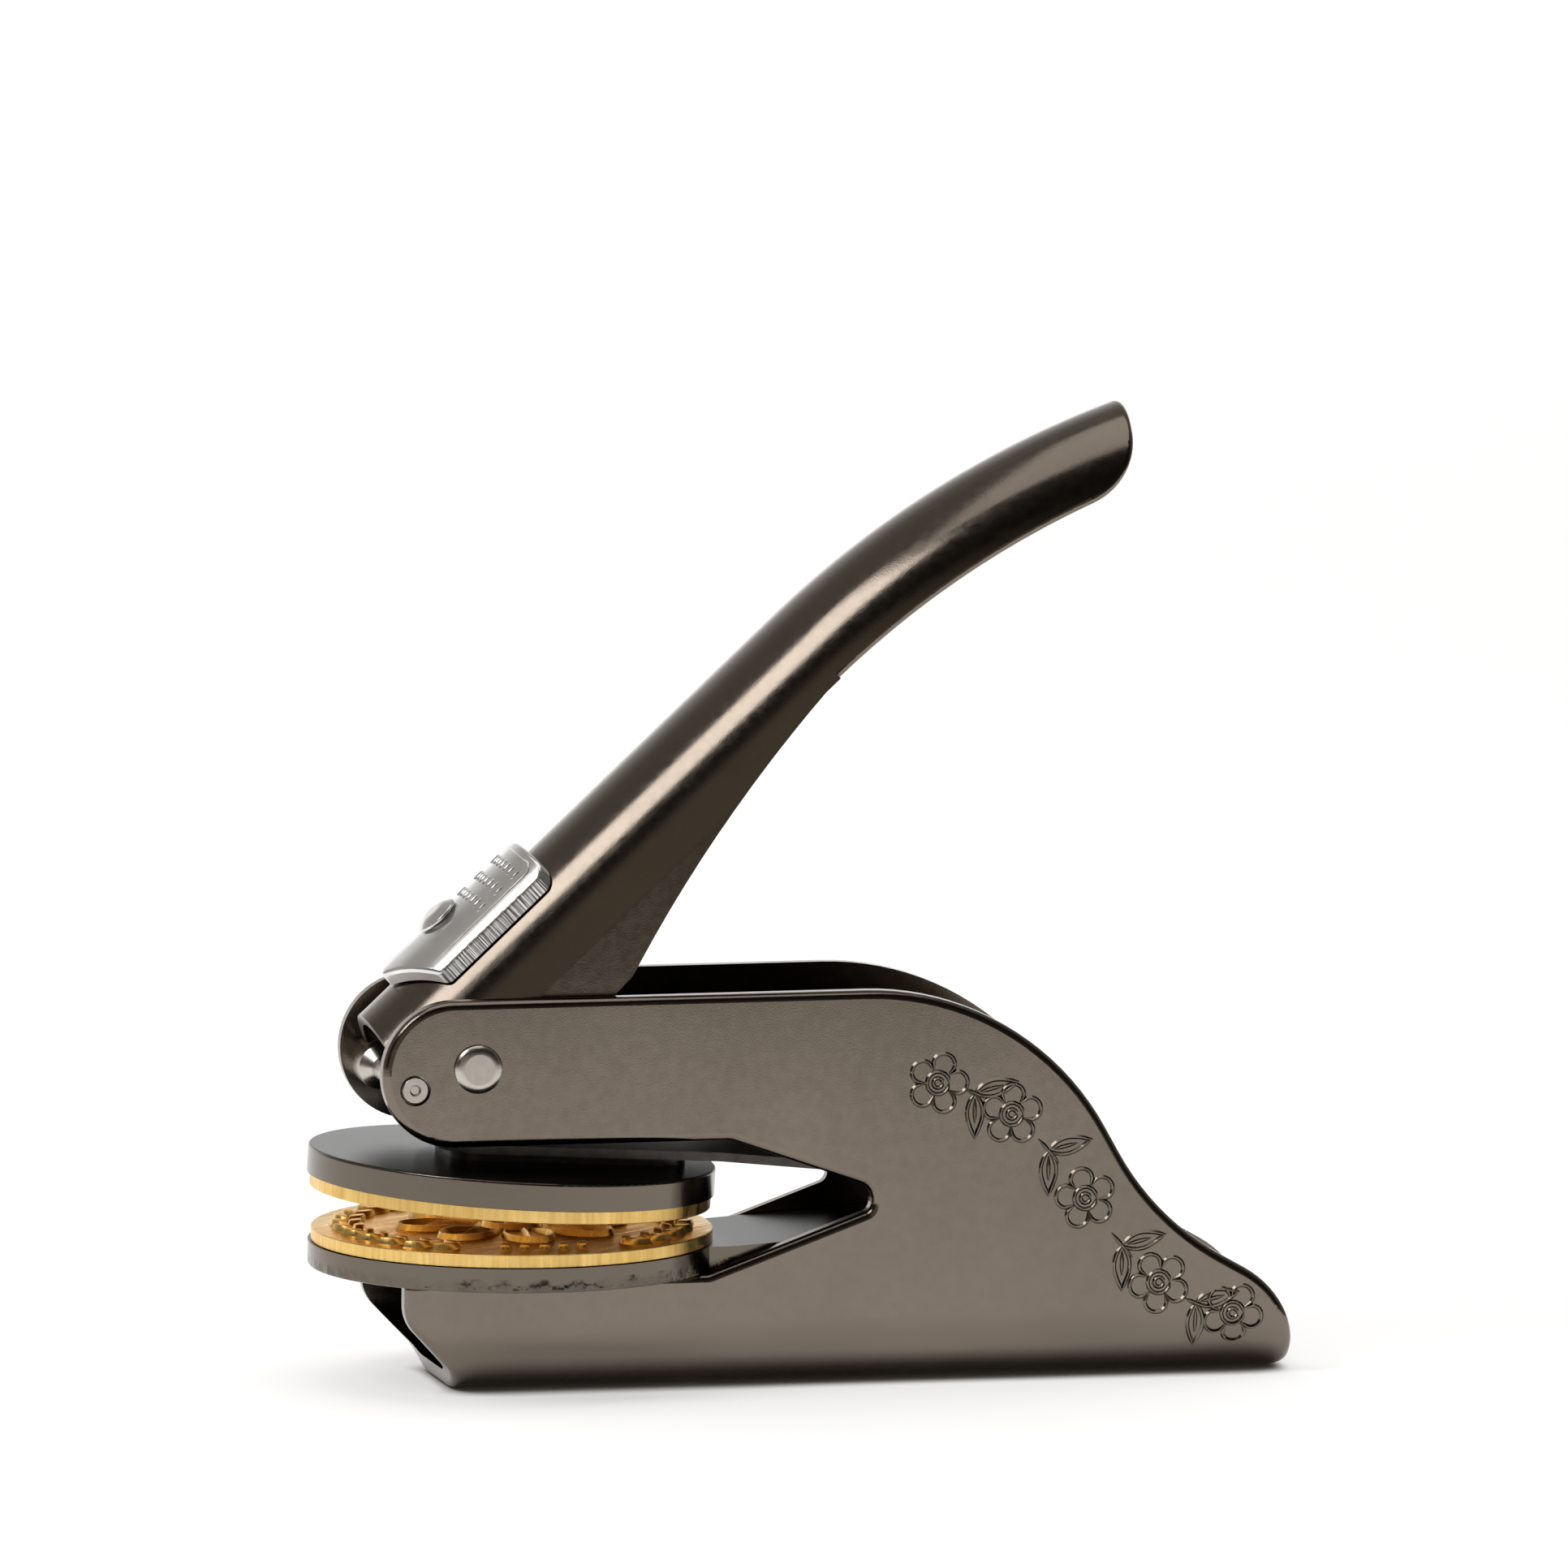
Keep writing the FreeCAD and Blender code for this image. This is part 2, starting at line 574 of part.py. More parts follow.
def tip_edges(grip):
    """Edges of the grip's outer skin across the end of the tip."""
    chosen = []
    axis_x = STRAIGHT_LENGTH
    axis_z = CROWN_HEIGHT - GRIP_RADIUS
    turn_at_tip = (TIP_START - STRAIGHT_LENGTH) / GRIP_RADIUS
    for edge in grip.Edges:
        first, last = edge.ParameterRange
        points = [edge.valueAt(first + (last - first) * share) for share in (0.1, 0.5, 0.9)]
        beyond = all(math.atan2(p.x - axis_x, p.z - axis_z) > turn_at_tip for p in points)
        outer = True
        for p in points:
            height = math.hypot(p.x - axis_x, p.z - axis_z) - GRIP_RADIUS + HANDLE_HALF
            reach = math.hypot(p.y, max(height, 0))
            outer = outer and abs(reach - HANDLE_HALF) < 1e-3
        if beyond and outer and not (abs(points[0].y) < 1e-6 and abs(points[2].y) < 1e-6):
            chosen.append(edge)
    return chosen


def make_handle():
    straight, curved = handle_channel()
    side = handle_side()
    side.translate(Vector(0, -HANDLE_HALF - OVER, 0))
    straight = straight.common(side.extrude(Vector(0, HANDLE_WIDTH + 2 * OVER, 0)))
    grip = grip_side()
    grip.translate(Vector(0, -HANDLE_HALF - OVER, 0))
    curved = curved.common(grip.extrude(Vector(0, HANDLE_WIDTH + 2 * OVER, 0)))
    curved = one_solid(curved)
    curved = curved.makeFillet(TIP_ROUND, tip_edges(curved))
    handle = straight.fuse(curved)
    for tool in lock_pin_path():
        handle = handle.cut(tool)
    press_x, press_z = press_place()
    handle = handle.cut(cross_pin(PIVOT_RADIUS + RUNNING_GAP, 0, 0, -HANDLE_WIDTH, HANDLE_WIDTH))
    press_hole = PRESS_PIN_RADIUS + RIVET_GAP
    handle = handle.cut(cross_pin(press_hole, press_x, press_z, -HANDLE_WIDTH, HANDLE_WIDTH))
    handle = handle.cut(latch_slot())
    return on_handle(one_solid(handle))


def make_pivot_bush():
    half = HANDLE_INNER - BUSH_END_GAP
    bush = cross_pin(BUSH_RADIUS, 0, 0, -half, half)
    return on_handle(bush.cut(cross_pin(PIVOT_RADIUS + RUNNING_GAP, 0, 0, -half, half)))


def make_press_pin():
    x, z = press_place()
    return on_handle(cross_pin(PRESS_PIN_RADIUS, x, z, -HANDLE_HALF, HANDLE_HALF))


def make_press_roller():
    x, z = press_place()
    half = HANDLE_INNER - SIDE_GAP
    roller = cross_pin(ROLLER_RADIUS, x, z, -half, half)
    rims = [edge for edge in roller.Edges if abs(abs(edge.CenterOfMass.y) - half) < 1e-4]
    roller = roller.makeChamfer(0.3, rims)
    return on_handle(roller.cut(cross_pin(PRESS_PIN_RADIUS + RUNNING_GAP, x, z, -half, half)))


# ---- thumb latch ----

def latch_outline():
    w = LATCH_HALF_WIDTH
    return [
        (LATCH_TIP, 0, LATCH_TIP_RADIUS),
        (LATCH_SHOULDER, -w, LATCH_SHOULDER_RADIUS),
        (LATCH_BACK, -w, LATCH_CORNER_RADIUS),
        (LATCH_BACK, w, LATCH_CORNER_RADIUS),
        (LATCH_SHOULDER, w, LATCH_SHOULDER_RADIUS),
    ]


def make_latch_plate():
    centre = Vector(LATCH_TIP - OVER, 0, CROWN_HEIGHT - HANDLE_HALF)
    length = LATCH_BACK - LATCH_TIP + 2 * OVER
    inner = HANDLE_HALF + LATCH_GAP
    along = Vector(1, 0, 0)
    crest_z = inner + LATCH_SHEET - LATCH_CREST_RADIUS + centre.z
    shell = Part.makeCylinder(LATCH_CREST_RADIUS, length, Vector(centre.x, 0, crest_z), along)
    shell = shell.cut(Part.makeCylinder(inner, length, centre, along))
    plate = one_solid(shell.common(plan_plate(latch_outline(), 0, CROWN_HEIGHT + OVER)))
    rim = []
    for edge in plate.Edges:
        first, last = edge.ParameterRange
        points = [edge.valueAt(first + (last - first) * share) for share in (0.1, 0.5, 0.9)]
        if all(abs(math.hypot(p.y, p.z - crest_z) - LATCH_CREST_RADIUS) < 1e-3 for p in points):
            rim.append(edge)
    plate = plate.makeFillet(LATCH_ROUND, rim)
    foot = Vector(BUTTON_X, 0, CROWN_HEIGHT - OVER)
    plate = plate.cut(Part.makeCylinder(STUD_RADIUS + RIVET_GAP, 2 * OVER, foot))
    return on_handle(plate.Solids[0])


def make_latch_button():
    plate_top = CROWN_HEIGHT + LATCH_GAP + LATCH_SHEET
    seat = plate_top + BUTTON_NECK_HEIGHT
    crest = seat + BUTTON_HEIGHT
    foot = HOOK_TOP_Z - HOOK_SHEET - STUD_FOOT_HEIGHT
    corners = [
        (0, foot, 0),
        (STUD_FOOT_RADIUS, foot, STUD_FOOT_HEIGHT / 2),
        (STUD_FOOT_RADIUS, HOOK_TOP_Z - HOOK_SHEET, 0),
        (STUD_RADIUS, HOOK_TOP_Z - HOOK_SHEET, 0),
        (STUD_RADIUS, plate_top, 0),
        (BUTTON_NECK_RADIUS, plate_top, 0),
        (BUTTON_NECK_RADIUS, seat, 0),
        (BUTTON_RADIUS, seat, 0.1),
        (BUTTON_RADIUS, seat + BUTTON_HEIGHT * 0.3, 0.2),
        (BUTTON_RADIUS * 0.55, crest, 2.0),
        (0, crest, 0),
    ]
    button = Part.Face(corner_wire(corners, side_view)).revolve(Vector(0, 0, 0), Vector(0, 0, 1), 360)
    button.translate(Vector(BUTTON_X, 0, 0))
    return on_handle(button)


def make_latch_hook():
    t = HOOK_SHEET
    corners = [
        (HOOK_BACK_X, HOOK_TOP_Z, 0),
        (HOOK_LEG_X, HOOK_TOP_Z, HOOK_BEND + t),
        (HOOK_LEG_X, HOOK_TOE_Z + t, HOOK_BEND),
        (HOOK_TOE_X, HOOK_TOE_Z + t, 0.2),
        (HOOK_TOE_X, HOOK_TOE_Z, 0.2),
        (HOOK_LEG_X + t, HOOK_TOE_Z, HOOK_BEND + t),
        (HOOK_LEG_X + t, HOOK_TOP_Z - t, HOOK_BEND),
        (HOOK_BACK_X, HOOK_TOP_Z - t, 0),
    ]
    hook = side_plate(corners, -HOOK_WIDTH / 2, HOOK_WIDTH / 2)
    foot = Vector(BUTTON_X, 0, HOOK_TOP_Z - OVER)
    hook = hook.cut(Part.makeCylinder(STUD_RADIUS + RIVET_GAP, 2 * OVER, foot))
    return on_handle(hook)


def make_latch_washer():
    bore = STUD_RADIUS + RUNNING_GAP
    profile = [
        (bore, HOOK_TOP_Z + WASHER_RISE),
        (WASHER_RADIUS, HOOK_TOP_Z),
        (WASHER_RADIUS, HOOK_TOP_Z + WASHER_SHEET),
        (bore, HOOK_TOP_Z + WASHER_RISE + WASHER_SHEET),
    ]
    return on_handle(turned(profile, Vector(BUTTON_X, 0, 0), Vector(0, 0, 1)))


# ---- dies and the clip that carries them ----

def bent_plate(stations, thickness, half_width):
    """Strip whose upper face runs through stations (x, z, radius), bent across its width."""
    upper = [(x, z, radius) for x, z, radius in stations]
    lower = [(x, z - thickness, radius) for x, z, radius in reversed(stations)]
    return side_plate(upper + lower, -half_width, half_width)


def carrier_disc(z_low, thickness, round_top):
    disc = Part.makeCylinder(CARRIER_RADIUS, thickness, Vector(0, 0, z_low))
    level = z_low + thickness if round_top else z_low
    rim = []
    for edge in disc.Edges:
        box = edge.BoundBox
        if abs(box.ZMin - level) < 1e-6 and box.ZLength < 1e-6:
            rim.append(edge)
    return disc.makeFillet(CARRIER_ROUND, rim)


def make_lower_carrier():
    top = LOWER_JAW_TOP + CARRIER_THICKNESS
    neck = CARRIER_RADIUS / 2
    stations = [
        (neck, top, 0),
        (TAIL_BEND_X, top, SPRING_BEND_RADIUS),
        (CLAMP_FRONT, top + TAIL_RISE, SPRING_BEND_RADIUS),
        (CLAMP_BACK, top + TAIL_RISE, 0),
    ]
    tail = bent_plate(stations, CARRIER_THICKNESS, ARM_WIDTH / 2)
    carrier = one_solid(carrier_disc(LOWER_JAW_TOP, CARRIER_THICKNESS, False).fuse(tail))
    for x in CLIP_RIVETS_X:
        carrier = carrier.cut(post(CLIP_RIVET_RADIUS + RIVET_GAP, x, LOWER_JAW_TOP, BLOCK_TOP))
    return carrier.Solids[0]


def die_disc(z_low):
    disc = Part.makeCylinder(DIE_RADIUS, DIE_THICKNESS, Vector(0, 0, z_low))
    return disc.makeChamfer(DIE_CHAMFER, [edge for edge in disc.Edges if edge.BoundBox.ZLength < 1e-6])


def upper_levels():
    """Closed, level heights of the upper die: plate, carrier, shim and spring undersides."""
    die = LOWER_DIE_TOP + CLOSED_GAP
    carrier = die + DIE_THICKNESS
    shim = carrier + UPPER_CARRIER_THICKNESS
    return die, carrier, shim, shim + SHIM_THICKNESS


def make_upper_carrier():
    carrier = carrier_disc(upper_levels()[1], UPPER_CARRIER_THICKNESS, True)
    for x in CARRIER_RIVETS_X:
        carrier = carrier.cut(post(CARRIER_RIVET_RADIUS + RIVET_GAP, x, 0, JAW_TOP))
    return lifted(carrier)


def make_arm_shim():
    bottom = upper_levels()[2]
    half = SHIM_WIDTH / 2
    corners = [
        (SHIM_FRONT, -half, SHIM_RADIUS),
        (SHIM_BACK, -half, SHIM_RADIUS),
        (SHIM_BACK, half, SHIM_RADIUS),
        (SHIM_FRONT, half, SHIM_RADIUS),
    ]
    shim = plan_plate(corners, bottom, bottom + SHIM_THICKNESS)
    for x in CARRIER_RIVETS_X:
        shim = shim.cut(post(CARRIER_RIVET_RADIUS + RIVET_GAP, x, 0, JAW_TOP))
    return lifted(shim)


def carrier_rivet(x, gap):
    """Rivet from the carrier's underside to the spring's upper face, countersunk there."""
    bottom = upper_levels()[1]
    top = upper_levels()[3] + SPRING_THICKNESS
    sink = SPRING_THICKNESS * 0.8
    profile = [
        (0, bottom),
        (CARRIER_RIVET_RADIUS + gap, bottom),
        (CARRIER_RIVET_RADIUS + gap, top - sink),
        (CARRIER_RIVET_HEAD + gap, top),
        (0, top),
    ]
    return lifted(turned(profile, Vector(x, 0, 0), Vector(0, 0, 1)))


def lifted_point(x, z):
    """Where a point of the closed upper die is with the dies open."""
    angle = math.radians(DIE_PITCH)
    dx = x - CLAMP_FRONT
    dz = z - HINGE_Z
    return (CLAMP_FRONT + dx * math.cos(angle) + dz * math.sin(angle),
            HINGE_Z - dx * math.sin(angle) + dz * math.cos(angle))


def make_upper_arm():
    """Spring strip: level where it is clamped, sloping up over the dies while they are open."""
    top = upper_levels()[3] + SPRING_THICKNESS
    front = lifted_point(SPRING_FRONT, top)
    bend = lifted_point(SPRING_BEND_X, top)
    stations = [
        (front[0], front[1], 0),
        (bend[0], bend[1], SPRING_BEND_RADIUS),
        (CLAMP_FRONT, CLAMP_SPRING_TOP, SPRING_BEND_RADIUS),
        (CLAMP_BACK, CLAMP_SPRING_TOP, 0),
    ]
    half = ARM_WIDTH / 2
    strip = bent_plate(stations, SPRING_THICKNESS, half)
    corners = [
        (front[0], -half, SPRING_FRONT_RADIUS),
        (CLAMP_BACK, -half, BLOCK_ROUND),
        (CLAMP_BACK, half, BLOCK_ROUND),
        (front[0], half, SPRING_FRONT_RADIUS),
    ]
    strip = strip.common(plan_plate(corners, 0, JAW_TOP))
    for x in CARRIER_RIVETS_X:
        strip = strip.cut(carrier_rivet(x, RIVET_GAP))
    for x in CLIP_RIVETS_X:
        strip = strip.cut(post(CLIP_RIVET_RADIUS + RIVET_GAP, x, 0, JAW_TOP))
    return strip.Solids[0]


def make_clip_block():
    half = ARM_WIDTH / 2
    corners = [
        (CLAMP_FRONT, -half, BLOCK_ROUND),
        (CLAMP_BACK, -half, BLOCK_ROUND),
        (CLAMP_BACK, half, BLOCK_ROUND),
        (CLAMP_FRONT, half, BLOCK_ROUND),
    ]
    block = plan_plate(corners, BLOCK_BOTTOM, BLOCK_TOP)
    for x in CLIP_RIVETS_X:
        block = block.cut(post(CLIP_RIVET_RADIUS + RIVET_GAP, x, 0, JAW_TOP))
    return block


def clip_rivet(x):
    low = TAIL_CLAMP_BOTTOM - BRACKET_SHEET
    r = CLIP_RIVET_RADIUS
    head = CLIP_RIVET_HEAD_RADIUS
    tall = CLIP_RIVET_HEAD_HEIGHT
    corners = [
        (0, low - tall, 0),
        (head - 0.5, low - tall, 0.4),
        (head, low, 0),
        (r, low, 0),
        (r, CLAMP_SPRING_TOP, 0),
        (head, CLAMP_SPRING_TOP, 0),
        (head - 0.5, CLAMP_SPRING_TOP + tall, 0.4),
        (0, CLAMP_SPRING_TOP + tall, 0),
    ]
    rivet = Part.Face(corner_wire(corners, side_view)).revolve(Vector(0, 0, 0), Vector(0, 0, 1), 360)
    rivet.translate(Vector(x, 0, 0))
    return rivet


# ---- bracket from the frame's web up to the clip ----

def bracket_rivet_places():
    return (CLAMP_FRONT - BRACKET_FOOT / 2, CLAMP_BACK + BRACKET_FOOT / 2)


def make_clip_bracket():
    t = BRACKET_SHEET
    low = FRAME_SHEET
    top = TAIL_CLAMP_BOTTOM
    front = CLAMP_FRONT
    back = CLAMP_BACK
    foot = BRACKET_FOOT
    inside = BRACKET_BEND
    outside = BRACKET_BEND + t
    corners = [
        (front - foot, low + t, 0),
        (front, low + t, inside),
        (front, top, outside),
        (back, top, outside),
        (back, low + t, inside),
        (back + foot, low + t, 0),
        (back + foot, low, 0),
        (back - t, low, outside),
        (back - t, top - t, inside),
        (front + t, top - t, inside),
        (front + t, low, outside),
        (front - foot, low, 0),
    ]
    bracket = side_plate(corners, -BRACKET_WIDTH / 2, BRACKET_WIDTH / 2)
    for x in CLIP_RIVETS_X:
        bracket = bracket.cut(post(CLIP_RIVET_RADIUS + RIVET_GAP, x, 0, JAW_TOP))
    for x in bracket_rivet_places():
        bracket = bracket.cut(post(BRACKET_RIVET_RADIUS + RIVET_GAP, x, 0, low + 2 * t))
    return bracket.Solids[0]


def countersunk_post(x, gap):
    """Shank with its countersunk head flush under the web."""
    profile = [
        (0, 0),
        (BRACKET_RIVET_HEAD + gap, 0),
        (BRACKET_RIVET_RADIUS + gap, COUNTERSINK_DEPTH),
        (BRACKET_RIVET_RADIUS + gap, FRAME_SHEET + BRACKET_SHEET),
        (0, FRAME_SHEET + BRACKET_SHEET),
    ]
    return turned(profile, Vector(x, 0, 0), Vector(0, 0, 1))


def bracket_rivet(x):
    low = FRAME_SHEET + BRACKET_SHEET
    corners = [
        (0, low, 0),
        (BRACKET_RIVET_HEAD, low, 0),
        (BRACKET_RIVET_HEAD - 0.4, low + 0.9, 0.4),
        (0, low + 0.9, 0),
    ]
    head = Part.Face(corner_wire(corners, side_view)).revolve(Vector(0, 0, 0), Vector(0, 0, 1), 360)
    head.translate(Vector(x, 0, 0))
    return one_solid(countersunk_post(x, 0).fuse(head))


# ---- the parts ----

os.makedirs("parts", exist_ok=True)

save("frame", make_frame())
save("pivot_rivet", make_pivot_rivet())
save("lock_pin", make_lock_pin())
save("clip_bracket", make_clip_bracket())
save("bracket_rivets", *[bracket_rivet(x) for x in bracket_rivet_places()])
save("lower_carrier", make_lower_carrier())
save("lower_die", die_disc(LOWER_JAW_TOP + CARRIER_THICKNESS))
save("clip_block", make_clip_block())
save("clip_rivets", *[clip_rivet(x) for x in CLIP_RIVETS_X])
save("upper_arm", make_upper_arm())
save("arm_shim", make_arm_shim())
save("upper_carrier", make_upper_carrier())
save("carrier_rivets", *[carrier_rivet(x, 0) for x in CARRIER_RIVETS_X])
save("upper_die", lifted(die_disc(upper_levels()[0])))
save("handle", make_handle())
save("pivot_bush", make_pivot_bush())
save("press_pin", make_press_pin())
save("press_roller", make_press_roller())
save("latch_plate", make_latch_plate())
save("latch_button", make_latch_button())
save("latch_hook", make_latch_hook())
save("latch_washer", make_latch_washer())
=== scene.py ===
import bmesh
import bpy
import math
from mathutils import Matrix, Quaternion, Vector, bvhtree


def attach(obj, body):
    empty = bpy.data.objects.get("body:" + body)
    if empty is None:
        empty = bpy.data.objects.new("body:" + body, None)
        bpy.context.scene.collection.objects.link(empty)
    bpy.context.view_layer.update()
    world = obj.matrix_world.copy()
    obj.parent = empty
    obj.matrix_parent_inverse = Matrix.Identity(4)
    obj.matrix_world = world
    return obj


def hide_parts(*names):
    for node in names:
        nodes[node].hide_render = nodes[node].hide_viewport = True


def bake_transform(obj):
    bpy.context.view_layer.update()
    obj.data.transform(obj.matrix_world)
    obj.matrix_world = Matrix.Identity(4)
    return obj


# Looks of the seal embosser. Lengths are in metres, in the row frame.

MM = 0.001

# ---- camera ----
CAMERA_AZIMUTH = -12.6     # degrees, 0 looks along +Y
CAMERA_ELEVATION = 8.2
CAMERA_ROLL = 0.3          # degrees, lowers the tail's side of the picture
CAMERA_LENS = 1200.0
CAMERA_DISTANCE = 5.853
CAMERA_TARGET = Vector((31.0, 0.0, 66.4)) * MM
CAMERA_SENSOR = 36.0       # mm
CAMERA_REACH = 20.0        # metres

# ---- light ----
ROOM_TINT = (1.0, 0.95, 0.88, 1)
# Light from the room. (y of the direction, radiance): dim in front, brighter behind.
ROOM_LIGHT = ((-0.7, 0.015), (-0.3, 0.035), (0.15, 0.22), (0.6, 0.25), (0.8, 0.45), (0.95, 0.75))
# A low glow in front, to the left. It fades to the right and upwards, along z + GLOW_SLANT * x.
GLOW_TINT = (1.0, 0.86, 0.71, 1)
GLOW_SLANT = 1.09
GLOW_ACROSS = ((0.1, 0.23), (0.22, 0.11), (0.3, 0.07), (0.42, 0.02))
GLOW_TOP = ((0.48, 1.0), (0.6, 0.05))
GLOW_FRONT = ((-0.8, 1.0), (-0.55, 0.0))
FLOOR_FRONT = -1.2
FLOOR_BACK = 1.25
BACKDROP_HEIGHT = 1.3
SWEEP_RADIUS = 0.12
FLOOR_HALF_WIDTH = 0.8
FLOOR_SINK = 0.02 * MM     # the sheet lies this far under the embosser
SWEEP_STEPS = 12
FLOOR_GLOW = 0.70
FLOOR_ALBEDO = 0.8
# In reflections the sheet fades in front of the embosser. (y in metres, share of its white).
FLOOR_FADE = (
    (-1.2, 0.03),
    (-0.9, 0.1),
    (-0.7, 0.17),
    (-0.345, 0.21),
    (-0.318, 1.0),
)
BEYOND_SHEET = (1.0, 0.86, 0.71, 1)   # glow's tint where the sheet is darker than the next
BEYOND_WHITE = 0.3
# The backdrop dims upwards, to the eye as well. (z in metres, share of its white).
BACKDROP_FADE = ((0.25, 1.0), (0.45, 0.7), (0.9, 0.45), (1.3, 0.28))
CONTACT_REACH = 7 * MM     # how near a piece has to be to shade the sheet
CONTACT_DARK = 0.24        # open share at which the sheet is dark
CONTACT_CLEAR = 0.6        # open share at which it is white again
SOFT_REACH = 55 * MM       # a wide faint shade round that
SOFT_DEPTH = 0.16
SOFT_SPAN = (0.5, 0.97)    # open shares over which that shade fades
WHITE = (1, 1, 1, 1)
BLACK = (0, 0, 0, 1)
LIGHT_TARGET = (0.03, 0, 0.05)
# (place, size, watts)
KEY_LAMP = ((-0.552, -0.203, 0.729), (0.34, 0.405), 1.84)
TOP_LAMP = ((0.05, 0.05, 1.15), (0.9, 0.9), 2.4)

# ---- surfaces ----
# Noise as (scale, detail). Stretched noise has a scale along each axis.
FINE_GRAIN = (5200.0, 2.0)
DISC_GRAIN = (2600.0, 2.0)
CLOUDS = (60.0, 3.0)
GLOSS_SPOTS = (900.0, 2.0)
NICKEL_SPOTS = (900.0, 3.0)
NICKEL_MARKS = (300.0, 5.0)
CHROME_MARKS = (240.0, 5.0)
TARNISH = (180.0, 5.0)
STEEL_GRAIN = (700.0, 5.0)
PAPER_FIBRES = 900.0
TEAR_LUMPS = (400.0, 400.0, 280.0)
FACE_SCUFFS = (60.0, 300.0, 300.0)
SHEAR_LINES = (3400.0, 90.0, 90.0)
RIM_TOOL_MARKS = (2200.0, 2200.0, 60.0)
BRUSH_STREAKS = (130.0, 2300.0, 130.0)
BRUSH_TURN = (0.0, 0.0, math.radians(-38))
# Depth of each in the bump.
FINE_GRAIN_DEPTH = 0.006 * MM
DISC_GRAIN_DEPTH = 0.003 * MM
TEAR_DEPTH = 0.4 * MM
NICKEL_DEPTH = 0.003 * MM
CHROME_DEPTH = 0.012 * MM
SHEAR_DEPTH = 0.05 * MM
RIM_TOOL_DEPTH = 0.02 * MM
BRUSH_DEPTH = 0.03 * MM
STEEL_DEPTH = 0.015 * MM
# Shares of a material's own colour, and spreads of its roughness.
PLATE_TINTS = (0.93, 1.05)
TORN_TINT = 0.5
# A disc's upward faces keep only these shares of its colour: painted shade, varied by scuffs.
TOP_SHADE_AND_SCUFF_TINTS = (0.24, 0.4)
NICKEL_TINT = 0.93
CHROME_TINT = 0.8
STEEL_TINT = 0.7
PLATE_ROUGH = 0.03
FACE_ROUGH = 0.1
NICKEL_ROUGH = (0.03, 0.04)
BRASS_ROUGH = (0.24, 0.44)
CHROME_METALLIC = 0.8
# painted shade: a disc's faces go this dark where a piece stands close above
UNDER_PIECE_SHADE = (0.004, 0.004, 0.004, 1)
UNDER_PIECE_SHADE_SPAN = (0.6, 0.97)   # open shares over which the painted shade under a piece clears
FACE_SPAN = ((0.5, 0.0), (0.8, 1.0))   # (upward part of the normal, share of the face's look: its darker colour is painted shade, its extra roughness a duller finish)
CUT_SHADE = (0.25, 0.245, 0.24, 1)
CUT_SHARE = 0.6
CUT_SPAN = (0.35, 0.65)
BRASS_TARNISHED = (0.78, 0.46, 0.12, 1)
BRASS_CLEAN = (0.95, 0.63, 0.20, 1)
BRASS_WORKED = (1.0, 0.73, 0.28, 1)

# ---- raised work, in millimetres ----
SUNK = 0.03                # how far its foot goes into the solid under it
SHARP_ANGLE = 40           # degrees between faces that keep a crisp edge
# A ridge's section: (share of its width, share of its height). None is the sunk foot.
RIDGE_SECTION = ((-0.5, None), (-0.36, 0.28), (-0.08, 0.97), (0.08, 0.97), (0.36, 0.28), (0.5, None))
RIDGE_TIP = 0.35           # share of its size that a ridge has at its open ends
BLOCK_SHOULDER = (0.6, 0.85)   # a block's upper bend: (share of its shrink, share of its height)
# A dome's rings: (share of its radius, share of its height).
DOME_RINGS = ((1.0, None), (1.0, 0.35), (0.8, 0.75), (0.4, 0.96))
DOME_SIDES = 12
LEAF_FULLNESS = 0.85       # moves a leaf's widest place towards its foot
LOBE_SQUARENESS = 0.4      # smaller makes a petal's rim flatter
LOBE_STEPS = 20

# lower die
DIE_TOP = 17.3
RELIEF_HEIGHT = 0.7
RIDGE_WIDTH = 0.7
BEAD_COUNT = 5
BEAD_PITCH = 7.2           # degrees
BEAD_RADIUS = 0.65
BEAD_INSET = 0.8
WREATH_RADIUS = 18.4
WREATH_GAP = 30.0          # degrees free of leaves on each side of the beads
WREATH_PAIRS = 12
WREATH_LEAF = 3.4
WREATH_LEAF_WIDTH = 0.42   # share of its length
WREATH_LEAF_SHRINK = 0.3
WREATH_SPREAD = 34.0
ROSETTE_PETALS = 8
ROSETTE_INNER = 4.2
ROSETTE_OUTER = 13.0
ROSETTE_HALF_PETAL = 20.0  # degrees
ROSETTE_VEIN = (4.6, 6.5, 8.6, 10.2)
ROSETTE_RING_INSET = 1.0
ROSETTE_BOSS = 0.9

# near cheek
FRAME_HALF = 12.7
BEND_RADIUS = 7.7
EDGE_MARGIN = 0.6
STEM_TOP = Vector((46.0, 34.0))
STEM_END = Vector((80.0, 7.0))
STEM_WAVE = 3.0
STEM_GAP = 0.09            # share of the stem left out on each side of a daisy
STEM_STEPS = 4
DAISIES = 5
DAISY_PETALS = 5
DAISY_RADIUS = 3.4
DAISY_FOOT = 0.45          # shares of that radius
DAISY_RINGS = (0.38, 0.16)
DAISY_RING_STEPS = 14
DAISY_TURN = 15.0          # degrees from one daisy to the next
PETAL_SHARE = 0.95         # of the room between its neighbours
LEAF_LENGTH = 5.0
LEAF_WIDTH = 0.36          # shares of its length
LEAF_RIB = (0.12, 0.3, 0.5, 0.68)
LEAF_STEPS = 9
LEAF_SPREAD = 52.0
FLOWER_LINE = 0.56
FLOWER_HEIGHT = 0.24
FLOWER_SHORTEST = 3        # points in the shortest run that is drawn
PROBE_HEIGHT = 2.0         # a ray starts this far over the cheek to feel for it
PROBE_SLACK = 0.1

